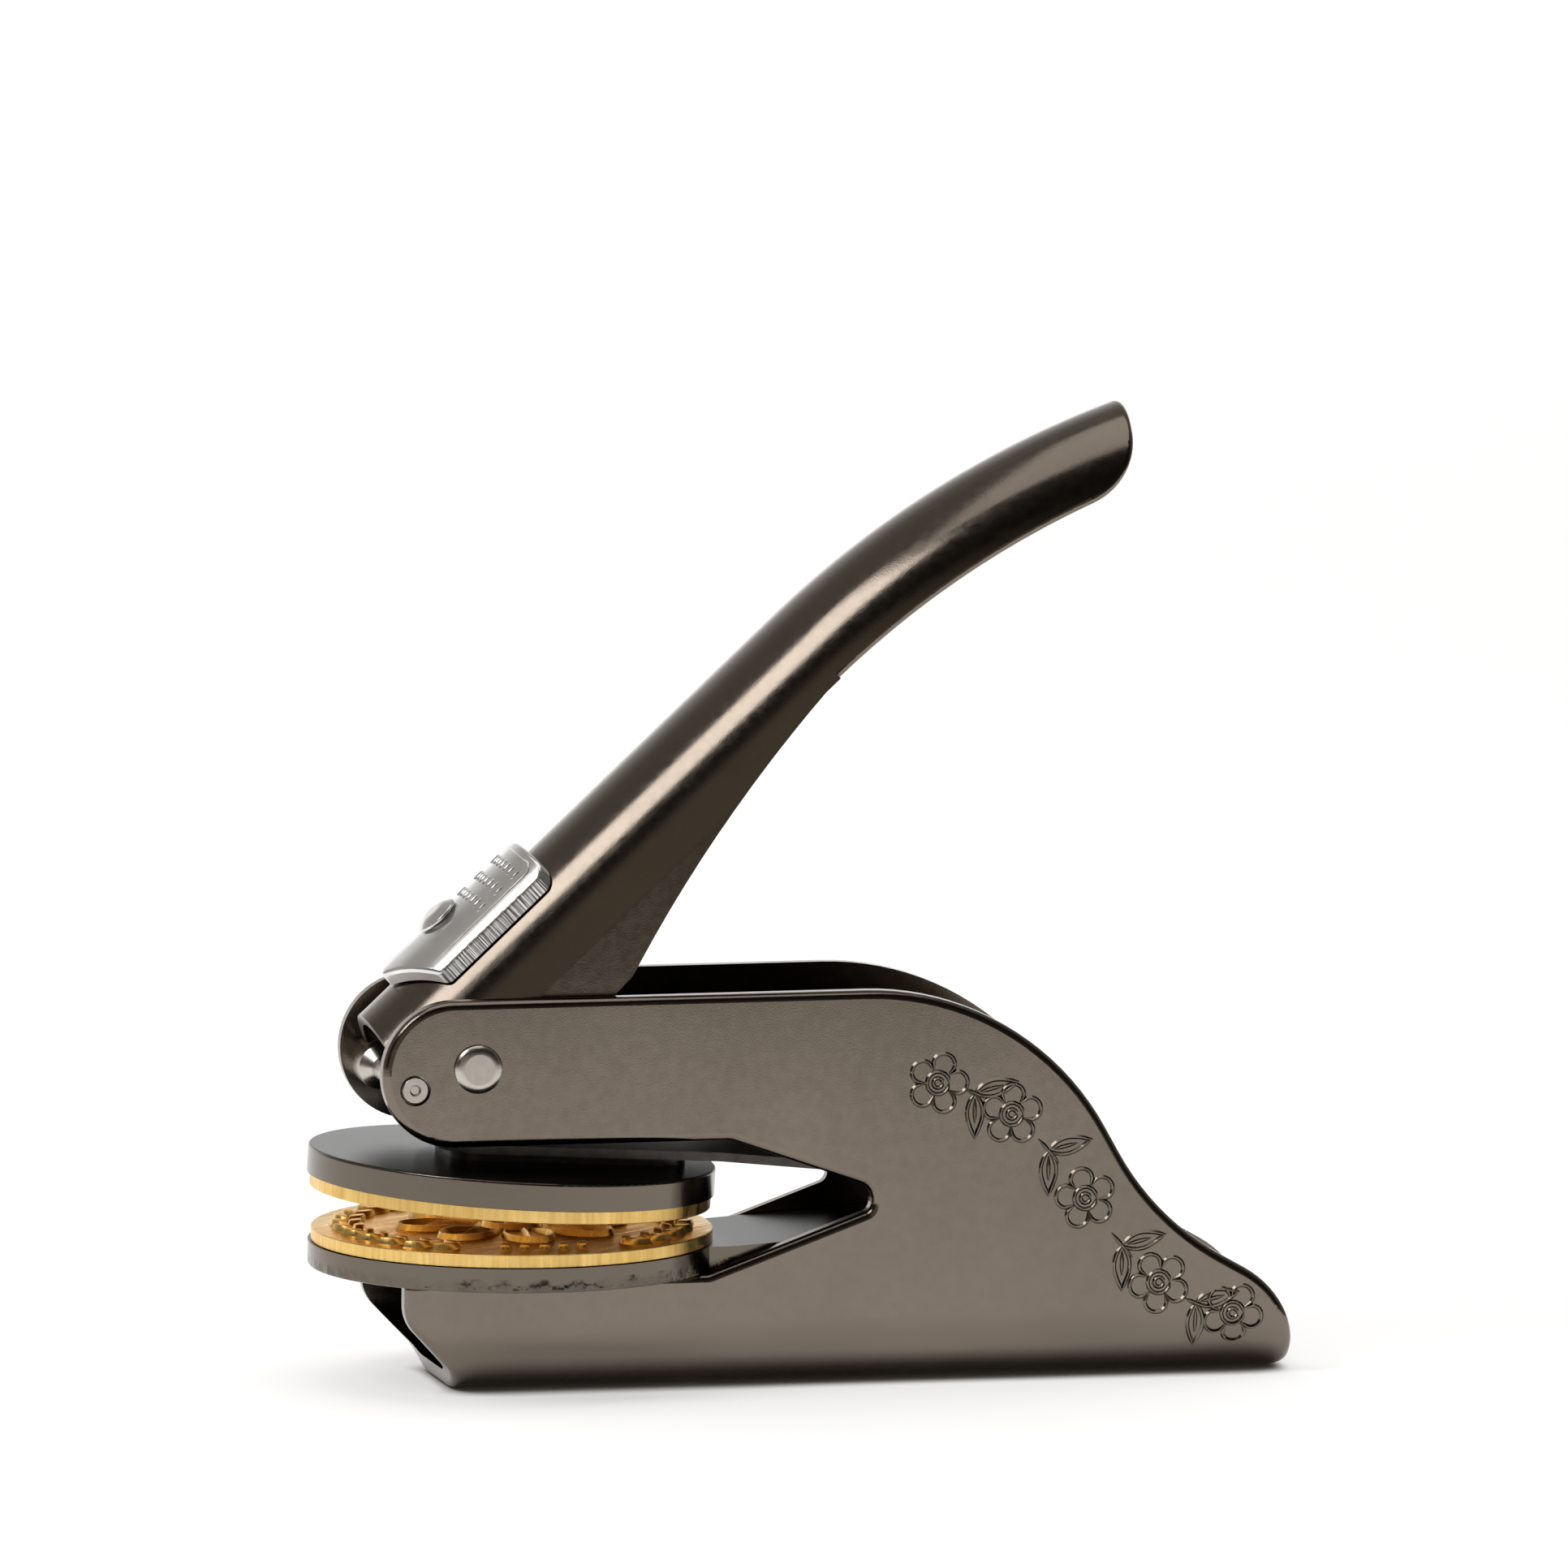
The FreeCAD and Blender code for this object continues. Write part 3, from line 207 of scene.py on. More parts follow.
# latch
PIVOT = (-6.65, 37.0)      # x and z of the handle's pivot
LATCH_CREST_RADIUS = 10.35
LATCH_CREST_Z = 2.2        # its axis over the pivot
GRIP_ROWS = (13.1, 15.7, 18.3)
GRIP_RIBS = 11
GRIP_PITCH = 1.05
GRIP_RIB = (-0.65, -0.5, 0.0, 0.5, 0.65)
GRIP_WIDTH = 0.4
GRIP_HEIGHT = 0.13
BORDER_WIDTH = 0.3
BORDER_HEIGHT = 0.1
BORDER_HALF = 6.35
BORDER_REAR = 20.3
BORDER_STATIONS = (4.5, 8.0, 12.0, 16.0, 19.6)
BORDER_STEPS = 6           # from the middle of the rear edge to its end

# spring strip
STRIP_HELD_X = 43.6
STRIP_FREE_X = 21.6
STRIP_CUTS = 14

# ---- the handle's crown at rest ----
CROWN_SLOPE = math.radians(42.9)
CROWN_UP = (-math.sin(CROWN_SLOPE), 0.0, math.cos(CROWN_SLOPE))
HANDLE_DRAFT = 2.4         # degrees that the walls' light is turned up the crown

# ---- cut edges ----
SHEAR_LOW = 13.9 * MM      # lower disc's rim is torn under this height
SHEAR_HIGH = 14.6 * MM     # and smooth over this one
NO_SHEAR = 0.1 * MM        # a height under every disc
UNDER_PIECE_SHADE_REACH = 30 * MM      # painted shade darkens the plate where a piece stands this near over it
CUT_EDGE = 7.1 * MM        # latch's side edges lie beyond this on both sides
CUT_BLEND = 0.1 * MM

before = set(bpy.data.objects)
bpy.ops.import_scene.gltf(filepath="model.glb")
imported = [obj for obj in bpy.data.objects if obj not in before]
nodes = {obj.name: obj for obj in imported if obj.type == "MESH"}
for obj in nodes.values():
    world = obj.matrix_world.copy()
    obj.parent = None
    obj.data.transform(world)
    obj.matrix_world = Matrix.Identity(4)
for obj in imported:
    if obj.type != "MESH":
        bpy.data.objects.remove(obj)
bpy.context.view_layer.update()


# ---- shader helpers ----

class Nodes:
    """A node tree, with short calls to add and join nodes."""

    def __init__(self, tree):
        self.tree = tree
        self.place = self.node("ShaderNodeTexCoord").outputs["Object"]

    def node(self, kind, **settings):
        made = self.tree.nodes.new(kind)
        for key, value in settings.items():
            setattr(made, key, value)
        return made

    def join(self, source, target):
        self.tree.links.new(source, target)

    def put(self, socket, value):
        if isinstance(value, bpy.types.NodeSocket):
            self.join(value, socket)
        else:
            socket.default_value = value

    def math(self, operation, a, b=0.0):
        made = self.node("ShaderNodeMath", operation=operation)
        self.put(made.inputs[0], a)
        self.put(made.inputs[1], b)
        return made.outputs[0]

    def stretched(self, scale, turn=(0.0, 0.0, 0.0)):
        """Object coordinates, turned first and then scaled."""
        turned = self.node("ShaderNodeMapping")
        self.join(self.place, turned.inputs["Vector"])
        turned.inputs["Rotation"].default_value = turn
        made = self.node("ShaderNodeMapping")
        self.join(turned.outputs["Vector"], made.inputs["Vector"])
        made.inputs["Scale"].default_value = scale
        return made.outputs["Vector"]

    def axis(self, name):
        """One object coordinate: X, Y or Z."""
        made = self.node("ShaderNodeSeparateXYZ")
        self.join(self.place, made.inputs["Vector"])
        return made.outputs[name]

    def noise(self, scale, detail=4.0, place=None):
        made = self.node("ShaderNodeTexNoise")
        self.join(place or self.place, made.inputs["Vector"])
        made.inputs["Scale"].default_value = scale
        made.inputs["Detail"].default_value = detail
        return made.outputs["Fac"]

    def span(self, value, low, high, from_low=0.3, from_high=0.7):
        """value carried from its own range to low and high. The range kept by default is a noise's."""
        made = self.node("ShaderNodeMapRange")
        self.put(made.inputs["Value"], value)
        made.inputs["From Min"].default_value = from_low
        made.inputs["From Max"].default_value = from_high
        made.inputs["To Min"].default_value = low
        made.inputs["To Max"].default_value = high
        return made.outputs["Result"]

    def blend(self, share, first, second):
        made = self.node("ShaderNodeMix", data_type="RGBA")
        self.put(made.inputs["Factor"], share)
        self.put(made.inputs[6], first)
        self.put(made.inputs[7], second)
        return made.outputs[2]

    def tinted(self, strength, tint):
        return self.blend(strength, BLACK, tint)

    def sum(self, first, second):
        made = self.node("ShaderNodeVectorMath", operation="ADD")
        self.join(first, made.inputs[0])
        self.join(second, made.inputs[1])
        return made.outputs["Vector"]

    def curve(self, value, points):
        """Straight lines between (input, output) points; flat beyond the ends."""
        low, high = points[0][0], points[-1][0]
        made = self.node("ShaderNodeValToRGB")
        self.join(self.span(value, 0.0, 1.0, low, high), made.inputs["Fac"])
        ramp = made.color_ramp
        while len(ramp.elements) < len(points):
            ramp.elements.new(1.0)
        for stop, (at, level) in zip(ramp.elements, points):
            stop.position = (at - low) / (high - low)
            stop.color = (level, level, level, 1)
        return made.outputs["Color"]

    def seen(self):
        """1 where the eye sees the surface itself, 0 in reflections and bounced light."""
        return self.node("ShaderNodeLightPath").outputs["Is Camera Ray"]

    def facing_up(self):
        """Upward part of the face's own direction, in object coordinates."""
        made = self.node("ShaderNodeSeparateXYZ")
        self.join(self.node("ShaderNodeTexCoord").outputs["Normal"], made.inputs["Vector"])
        return made.outputs["Z"]

    def open_share(self, reach):
        """1 in the open, less where something stands nearer than reach."""
        made = self.node("ShaderNodeAmbientOcclusion", samples=16)
        made.inputs["Distance"].default_value = reach
        return made.outputs["AO"]

    def relief(self, height, depth, normal=None):
        made = self.node("ShaderNodeBump")
        self.join(height, made.inputs["Height"])
        made.inputs["Distance"].default_value = depth
        made.inputs["Strength"].default_value = 1.0
        if normal is not None:
            self.join(normal, made.inputs["Normal"])
        return made.outputs["Normal"]


class Shader(Nodes):
    """The node tree of a new material."""

    def __init__(self, name):
        self.material = bpy.data.materials.new(name)
        self.material.use_nodes = True
        super().__init__(self.material.node_tree)
        self.surface = self.tree.nodes["Principled BSDF"]

    def finish(self, color, roughness, metallic=1.0, normal=None):
        self.put(self.surface.inputs["Base Color"], color)
        self.put(self.surface.inputs["Roughness"], roughness)
        self.surface.inputs["Metallic"].default_value = metallic
        if normal is not None:
            self.join(normal, self.surface.inputs["Normal"])
        return self.material


# ---- materials ----

def scaled(color, share):
    return (*[part * share for part in color], 1)


def satin_plate(name, color, roughness, lean=0.0):
    """Dark nickel plate over blasted steel: a fine grain and faint cloudiness.

    lean is the draft of a channel's walls, in degrees, which turns their light a little up the crown.
    """
    s = Shader(name)
    draft = None
    if lean:
        up = s.node("ShaderNodeVectorMath", operation="DOT_PRODUCT")
        s.join(s.place, up.inputs[0])
        up.inputs[1].default_value = CROWN_UP
        draft = s.relief(s.math("MULTIPLY", up.outputs["Value"], -math.tan(math.radians(lean))), 1.0)
    grain = s.noise(*FINE_GRAIN)
    cloud = s.noise(*CLOUDS)
    shade = s.span(cloud, 0.0, 1.0)
    tint = s.blend(shade, scaled(color, PLATE_TINTS[0]), scaled(color, PLATE_TINTS[1]))
    rough = s.span(s.noise(*GLOSS_SPOTS), roughness - PLATE_ROUGH, roughness + PLATE_ROUGH)
    return s.finish(tint, rough, normal=s.relief(grain, FINE_GRAIN_DEPTH, draft))


def punched_plate(name, color, roughness, torn_below, smooth_above):
    """The same plate on a punched disc: rougher upward faces painted darker as shade, painted shade near
    black where a piece stands close above, and a rim that is torn low down.
    """
    s = Shader(name)
    torn = s.curve(s.axis("Z"), ((torn_below, 1.0), (smooth_above, 0.0)))
    lumps = s.noise(1.0, 3.0, s.stretched(TEAR_LUMPS))
    grain = s.relief(s.noise(*DISC_GRAIN), DISC_GRAIN_DEPTH)
    tears = s.relief(s.math("MULTIPLY", s.math("SUBTRACT", lumps, 0.5), torn), TEAR_DEPTH, grain)
    shade = s.math("MULTIPLY", s.span(lumps, 0.0, 0.6), torn)
    rim = s.blend(shade, (*color, 1), scaled(color, TORN_TINT))
    scuffs = s.noise(1.0, 4.0, s.stretched(FACE_SCUFFS))
    # upward faces painted darker than the rim: painted shade, with scuff marks in it
    scuffed_and_shaded_top = s.blend(s.span(scuffs, 0.0, 1.0), scaled(color, TOP_SHADE_AND_SCUFF_TINTS[0]), scaled(color, TOP_SHADE_AND_SCUFF_TINTS[1]))
    flat = s.curve(s.facing_up(), FACE_SPAN)
    # painted shade: the face goes near black where ambient occlusion finds a piece close over it
    under_piece_shade = s.span(s.open_share(UNDER_PIECE_SHADE_REACH), 0.0, 1.0, *UNDER_PIECE_SHADE_SPAN)
    face = s.blend(under_piece_shade, UNDER_PIECE_SHADE, scuffed_and_shaded_top)
    rough = s.span(flat, roughness, roughness + FACE_ROUGH, 0.0, 1.0)
    return s.finish(s.blend(flat, rim, face), rough, normal=tears)


def nickel(name, color, roughness):
    """Bright plate with a slight haze and small handling marks."""
    s = Shader(name)
    marks = s.noise(*NICKEL_MARKS)
    tint = s.blend(s.span(marks, 0.0, 1.0), scaled(color, NICKEL_TINT), (*color, 1))
    less, more = NICKEL_ROUGH
    rough = s.span(s.noise(*NICKEL_SPOTS), roughness - less, roughness + more)
    return s.finish(tint, rough, normal=s.relief(marks, NICKEL_DEPTH))


def pressed_chrome(name, color, roughness):
    """Bright plate on a pressed shell, with upright shear marks on its cut side edges."""
    s = Shader(name)
    marks = s.noise(*CHROME_MARKS)
    tint = s.blend(s.span(marks, 0.0, 1.0), scaled(color, CHROME_TINT), (*color, 1))
    lines = s.noise(1.0, 2.0, s.stretched(SHEAR_LINES, (0.0, CROWN_SLOPE, 0.0)))
    cut = s.curve(s.math("ABSOLUTE", s.axis("Y")), ((CUT_EDGE - CUT_BLEND, 0.0), (CUT_EDGE, 1.0)))
    edge = s.math("MULTIPLY", s.span(lines, 0.0, 1.0, *CUT_SPAN), cut)
    struck = s.relief(edge, SHEAR_DEPTH, s.relief(marks, CHROME_DEPTH))
    shaded = s.blend(s.math("MULTIPLY", edge, CUT_SHARE), tint, CUT_SHADE)
    return s.finish(shaded, roughness, metallic=CHROME_METALLIC, normal=struck)


def brass(name):
    """Turned brass: fine upright tool marks round the rim and brushed streaks over the face."""
    s = Shader(name)
    rim_marks = s.noise(1.0, 3.0, s.stretched(RIM_TOOL_MARKS))
    streaks = s.noise(1.0, 3.0, s.stretched(BRUSH_STREAKS, BRUSH_TURN))
    tarnish = s.noise(*TARNISH)
    warm = s.blend(s.span(tarnish, 0.0, 1.0), BRASS_TARNISHED, BRASS_CLEAN)
    tint = s.blend(s.span(rim_marks, 0.0, 0.7), warm, BRASS_WORKED)
    rough = s.span(streaks, *BRASS_ROUGH)
    brushed = s.relief(streaks, BRUSH_DEPTH)
    return s.finish(tint, rough, normal=s.relief(rim_marks, RIM_TOOL_DEPTH, brushed))


def raw_steel(name, color, roughness):
    """Plain steel with a mottled grain."""
    s = Shader(name)
    grain = s.noise(*STEEL_GRAIN)
    tint = s.blend(s.span(grain, 0.0, 1.0), scaled(color, STEEL_TINT), (*color, 1))
    return s.finish(tint, roughness, normal=s.relief(grain, STEEL_DEPTH))


def wear(material, *names):
    for name in names:
        data = nodes[name].data
        data.materials.clear()
        data.materials.append(material)


GUNMETAL = (0.204, 0.171, 0.140)
plate = satin_plate("satin_dark_nickel", GUNMETAL, 0.16)
handle_plate = satin_plate("satin_dark_nickel_handle", GUNMETAL, 0.16, HANDLE_DRAFT)
DISC_METAL = (0.166, 0.141, 0.113)
disc_plate = punched_plate("satin_dark_nickel_disc", DISC_METAL, 0.18, 0.0, NO_SHEAR)
disc_torn = punched_plate("satin_dark_nickel_sheared", DISC_METAL, 0.19, SHEAR_LOW, SHEAR_HIGH)
bright = nickel("nickel_pins", (0.58, 0.54, 0.485), 0.26)
chrome = pressed_chrome("latch_chrome", (0.98, 0.97, 0.95), 0.19)
die_brass = brass("die_brass")
steel = raw_steel("plain_steel", (0.28, 0.26, 0.24), 0.42)
spring_steel = raw_steel("spring_steel", (0.10, 0.092, 0.085), 0.38)

wear(plate, "frame")
wear(handle_plate, "handle")
wear(disc_plate, "upper_carrier")
wear(disc_torn, "lower_carrier")
wear(bright, "pivot_rivet", "lock_pin")
wear(chrome, "latch_plate", "latch_button")
wear(die_brass, "lower_die", "upper_die")
wear(steel, "clip_block", "clip_rivets", "clip_bracket", "bracket_rivets", "carrier_rivets")
wear(steel, "pivot_bush", "press_pin", "press_roller", "latch_hook", "latch_washer")
wear(spring_steel, "upper_arm", "arm_shim")


# ---- mesh helpers ----

def piece(name, build, material, body):
    """A mesh object filled in by build(bmesh), which moves with that body."""
    mesh = bpy.data.meshes.new(name)
    built = bmesh.new()
    build(built)
    bmesh.ops.recalc_face_normals(built, faces=built.faces)
    built.to_mesh(mesh)
    built.free()
    mesh.materials.append(material)
    mesh.shade_smooth()
    mesh.set_sharp_from_angle(angle=math.radians(SHARP_ANGLE))
    made = bpy.data.objects.new(name, mesh)
    bpy.context.scene.collection.objects.link(made)
    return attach(made, body)


def tube_faces(built, rows, closed):
    """Skins a run of vertex loops, with caps at its ends unless it closes on itself."""
    pairs = list(zip(rows, rows[1:]))
    if closed:
        pairs.append((rows[-1], rows[0]))
    for one, two in pairs:
        for i in range(len(one)):
            j = (i + 1) % len(one)
            built.faces.new((one[i], one[j], two[j], two[i]))
    if not closed:
        built.faces.new(rows[0])
        built.faces.new(rows[-1])


def ridge(built, path, lay, width, height, closed=False):
    """Raised line along path. lay(point, lift) gives the place of a flat point on the surface."""
    last = len(path) - 1
    rows = []
    for i, point in enumerate(path):
        before = path[i - 1] if closed or i > 0 else point
        after = path[(i + 1) % len(path)] if closed or i < last else point
        way = (after - before).normalized()
        side = Vector((-way.y, way.x))
        share = 1.0 if closed or 0 < i < last else RIDGE_TIP
        row = []
        for across, level in RIDGE_SECTION:
            lift = -SUNK if level is None else level * height * share
            row.append(built.verts.new(lay(point + side * across * width * share, lift)))
        rows.append(row)
    tube_faces(built, rows, closed)


def block(built, outline, lay, height, shrink):
    """Flat-topped raised shape whose walls lean in."""
    middle = sum(outline, Vector((0, 0))) / len(outline)
    bend, level = BLOCK_SHOULDER
    levels = [(1.0, -SUNK), (1.0 - shrink * bend, height * level), (1.0 - shrink, height)]
    rows = []
    for share, lift in levels:
        rows.append([built.verts.new(lay(middle + (p - middle) * share, lift)) for p in outline])
    tube_faces(built, rows, False)


def dome(built, middle, radius, lay, height):
    """Low round boss."""
    rows = []
    for share, level in DOME_RINGS:
        lift = -SUNK if level is None else height * level
        rows.append([
            built.verts.new(lay(middle + turned_point(radius * share, 360.0 * i / DOME_SIDES), lift))
            for i in range(DOME_SIDES)
        ])
    tube_faces(built, rows, False)


def turned_point(radius, degrees):
    angle = math.radians(degrees)
    return Vector((radius * math.cos(angle), radius * math.sin(angle)))


# ---- raised work on the lower die ----

def on_die(point, lift):
    return Vector((point.x, point.y, DIE_TOP + lift)) * MM


def leaf_outline(base, degrees, length, width, steps=6):
    """Pointed leaf from its base outwards."""
    ahead = turned_point(1.0, degrees)
    side = Vector((-ahead.y, ahead.x))
    edge = []
    for i in range(1, steps):
        along = i / steps
        edge.append((along * length, width / 2 * math.sin(math.pi * along ** LEAF_FULLNESS)))
    outline = [base] + [base + ahead * a + side * w for a, w in edge]
    outline.append(base + ahead * length)
    outline += [base + ahead * a - side * w for a, w in reversed(edge)]
    return outline


def petal_path(middle, degrees, inner, outer, half_angle):
    """Round lobe, as an open line that starts and ends at its foot."""
    path = []
    for i in range(LOBE_STEPS + 1):
        across = -1 + 2 * i / LOBE_STEPS
        radius = inner + (outer - inner) * max(math.cos(math.pi / 2 * across), 0) ** LOBE_SQUARENESS
        path.append(middle + turned_point(radius, degrees + half_angle * across))
    return path


def circle_path(middle, radius, steps=20):
    return [middle + turned_point(radius, 360.0 * i / steps) for i in range(steps)]


def build_die_relief(built):
    """Two rows of beads, a leaf wreath between them, and a rosette in the middle."""
    centre = Vector((0, 0))
    for end in (-90.0, 90.0):
        for i in range(BEAD_COUNT):
            turn = end + (i - (BEAD_COUNT - 1) / 2) * BEAD_PITCH
            dome(built, turned_point(WREATH_RADIUS - BEAD_INSET, turn), BEAD_RADIUS, on_die, RELIEF_HEIGHT)
    for side in (-1, 1):
        for i in range(WREATH_PAIRS):
            turn = -90 + side * (WREATH_GAP + (180 - 2 * WREATH_GAP) * i / (WREATH_PAIRS - 1))
            foot = turned_point(WREATH_RADIUS, turn)
            ahead = turn + side * 90
            for spread in (-WREATH_SPREAD, WREATH_SPREAD):
                width = WREATH_LEAF * WREATH_LEAF_WIDTH
                leaf = leaf_outline(foot, ahead + spread, WREATH_LEAF, width)
                block(built, leaf, on_die, RELIEF_HEIGHT, WREATH_LEAF_SHRINK)
    for i in range(ROSETTE_PETALS):
        turn = 360.0 * i / ROSETTE_PETALS
        outer = petal_path(centre, turn, ROSETTE_INNER, ROSETTE_OUTER, ROSETTE_HALF_PETAL)
        ridge(built, outer, on_die, RIDGE_WIDTH, RELIEF_HEIGHT)
        vein = [turned_point(radius, turn) for radius in ROSETTE_VEIN]
        ridge(built, vein, on_die, RIDGE_WIDTH, RELIEF_HEIGHT)
    ring = circle_path(centre, ROSETTE_INNER - ROSETTE_RING_INSET)
    ridge(built, ring, on_die, RIDGE_WIDTH, RELIEF_HEIGHT, closed=True)
    dome(built, centre, ROSETTE_BOSS, on_die, RELIEF_HEIGHT)


# ---- grip and border on the latch ----

def on_latch(point, lift):
    """point is (along the crown from the pivot, across)."""
    turn = point.y / LATCH_CREST_RADIUS
    radius = LATCH_CREST_RADIUS + lift
    up = LATCH_CREST_Z + radius * math.cos(turn)
    x = PIVOT[0] + point.x * math.cos(CROWN_SLOPE) - up * math.sin(CROWN_SLOPE)
    z = PIVOT[1] + point.x * math.sin(CROWN_SLOPE) + up * math.cos(CROWN_SLOPE)
    return Vector((x, radius * math.sin(turn), z)) * MM


def build_latch_grip(built):
    """Rows of grip ribs, and a line along three edges."""
    for along in GRIP_ROWS:
        for i in range(GRIP_RIBS):
            across = (i - (GRIP_RIBS - 1) / 2) * GRIP_PITCH
            rib = [Vector((along + step, across)) for step in GRIP_RIB]
            ridge(built, rib, on_latch, GRIP_WIDTH, GRIP_HEIGHT)
    border = [Vector((along, -BORDER_HALF)) for along in BORDER_STATIONS]
    steps = range(1 - BORDER_STEPS, BORDER_STEPS)
    rear = [Vector((BORDER_REAR, BORDER_HALF * step / BORDER_STEPS)) for step in steps]
    other = [Vector((along, BORDER_HALF)) for along in reversed(BORDER_STATIONS)]
    ridge(built, border + rear + other, on_latch, BORDER_WIDTH, BORDER_HEIGHT)


# ---- flower lines on the near cheek ----

def on_cheek(point, lift):
    """point is (x, height along the sheet): the plane cheek, then round the bottom bend."""
    if point.y >= BEND_RADIUS:
        return Vector((point.x, -FRAME_HALF - lift, point.y)) * MM
    turn = (BEND_RADIUS - point.y) / BEND_RADIUS
    radius = BEND_RADIUS + lift
    y = -(FRAME_HALF - BEND_RADIUS) - radius * math.cos(turn)
    return Vector((point.x, y, BEND_RADIUS - radius * math.sin(turn))) * MM


def cheek_has(tree, point):
    """True where the cheek's face reaches a little round this point."""
    for dx, dz in ((EDGE_MARGIN, 0), (-EDGE_MARGIN, 0), (0, EDGE_MARGIN), (0, -EDGE_MARGIN)):
        near = point + Vector((dx, dz))
        above = on_cheek(near, PROBE_HEIGHT)
        way = (on_cheek(near, 0.0) - above).normalized()
        hit, _, _, distance = tree.ray_cast(above, way)
        if hit is None or abs(distance - PROBE_HEIGHT * MM) > PROBE_SLACK * MM:
            return False
    return True


def leaf_lines(foot, degrees):
    """A leaf's outline and its middle rib."""
    outline = leaf_outline(foot, degrees, LEAF_LENGTH, LEAF_LENGTH * LEAF_WIDTH, LEAF_STEPS)
    rib = [foot + turned_point(LEAF_LENGTH * share, degrees) for share in LEAF_RIB]
    return [outline + outline[:1], rib]


def daisy(middle, turn):
    """Plain round lobes round two rings."""
    paths = []
    foot = DAISY_RADIUS * DAISY_FOOT
    half = 180.0 / DAISY_PETALS
    for i in range(DAISY_PETALS):
        paths.append(petal_path(middle, turn + 2 * half * i, foot, DAISY_RADIUS, half * PETAL_SHARE))
    for share in DAISY_RINGS:
        ring = circle_path(middle, DAISY_RADIUS * share, DAISY_RING_STEPS)
        paths.append(ring + ring[:1])
    return paths


def stem_point(share):
    """Point of the stem at that share of the way from its top to its end."""
    point = STEM_TOP.lerp(STEM_END, share)
    return point + Vector((0, STEM_WAVE * math.sin(2 * math.pi * share)))


def flower_paths():
    """A plain garland: equal daisies along one waved stem, a pair of leaves between them."""
    paths = []
    way = STEM_END - STEM_TOP
    heading = math.degrees(math.atan2(way.y, way.x))
    for i in range(DAISIES):
        paths += daisy(stem_point(i / (DAISIES - 1)), DAISY_TURN * i)
    for i in range(DAISIES - 1):
        first = i / (DAISIES - 1) + STEM_GAP
        last = (i + 1) / (DAISIES - 1) - STEM_GAP
        steps = range(STEM_STEPS + 1)
        paths.append([stem_point(first + (last - first) * step / STEM_STEPS) for step in steps])
        for side in (-LEAF_SPREAD, LEAF_SPREAD):
            paths += leaf_lines(stem_point((i + 0.5) / (DAISIES - 1)), heading + side)
    return paths


def build_flower_lines(built):
    """Ridges along the flower paths, where the cheek is under them."""
    tree = bvhtree.BVHTree.FromObject(nodes["frame"], bpy.context.evaluated_depsgraph_get())
    for path in flower_paths():
        run = []
        for point in path + [None]:
            if point is not None and cheek_has(tree, point):
                run.append(point)
                continue
            if len(run) >= FLOWER_SHORTEST:
                ridge(built, run, on_cheek, FLOWER_LINE, FLOWER_HEIGHT)
            run = []


# ---- spring strip, cut across where it bends at the clip ----

def bending_strip():
    """The strip's own solid, cut across many times between the clamp and the dies, where it bends."""
    source = nodes["upper_arm"]
    mesh = source.data.copy()
    mesh.name = "upper_arm_strip"
    built = bmesh.new()
    built.from_mesh(mesh)
    for step in range(1, STRIP_CUTS):
        x = STRIP_FREE_X + (STRIP_HELD_X - STRIP_FREE_X) * step / STRIP_CUTS
        everything = built.verts[:] + built.edges[:] + built.faces[:]
        bmesh.ops.bisect_plane(built, geom=everything, plane_co=(x * MM, 0, 0), plane_no=(1, 0, 0))
    built.to_mesh(mesh)
    built.free()
    strip = bpy.data.objects.new("upper_arm_strip", mesh)
    bpy.context.scene.collection.objects.link(strip)
    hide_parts("upper_arm")
    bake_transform(strip)


die_relief = piece("die_relief", build_die_relief, die_brass, "frame")
latch_grip = piece("latch_grip", build_latch_grip, chrome, "latch")
flower_lines = piece("flower_lines", build_flower_lines, plate, "frame")
bending_strip()


# ---- floor, light and camera ----

def paper():
    """White sheet with its own glow, which goes where a piece stands close over it: ambient occlusion
    paints a contact shadow there.

    The fade in front is for reflections only, the dimming of the backdrop is for all, and the
    sheet is clear from its back.
    """
    s = Shader("floor_paper")
    fade = s.math("MAXIMUM", s.curve(s.axis("Y"), FLOOR_FADE), s.seen())
    white = s.math("MULTIPLY", fade, s.curve(s.axis("Z"), BACKDROP_FADE))
    # painted contact shadow: ambient occlusion cuts the glow near a piece, narrow and dark, then wide and
    # faint
    near = s.span(s.open_share(CONTACT_REACH), 0.0, 1.0, CONTACT_DARK, CONTACT_CLEAR)
    wide = s.span(s.open_share(SOFT_REACH), 1.0 - SOFT_DEPTH, 1.0, *SOFT_SPAN)
    shaded = s.math("MULTIPLY", white, s.math("MULTIPLY", near, wide))
    s.join(s.math("MULTIPLY", shaded, FLOOR_GLOW), s.surface.inputs["Emission Strength"])
    beyond = s.math("LESS_THAN", white, BEYOND_WHITE)
    s.join(s.blend(beyond, WHITE, BEYOND_SHEET), s.surface.inputs["Emission Color"])
    s.surface.inputs["Specular IOR Level"].default_value = 0.0
    fibres = s.span(s.noise(PAPER_FIBRES), 0.97, 1.0)
    tint = s.tinted(s.math("MULTIPLY", white, fibres), scaled(WHITE[:3], FLOOR_ALBEDO))
    back = s.node("ShaderNodeNewGeometry").outputs["Backfacing"]
    either = s.node("ShaderNodeMixShader")
    s.join(back, either.inputs[0])
    s.join(s.surface.outputs["BSDF"], either.inputs[1])
    s.join(s.node("ShaderNodeBsdfTransparent").outputs["BSDF"], either.inputs[2])
    s.join(either.outputs["Shader"], s.tree.nodes["Material Output"].inputs["Surface"])
    return s.finish(tint, 0.9, metallic=0.0)


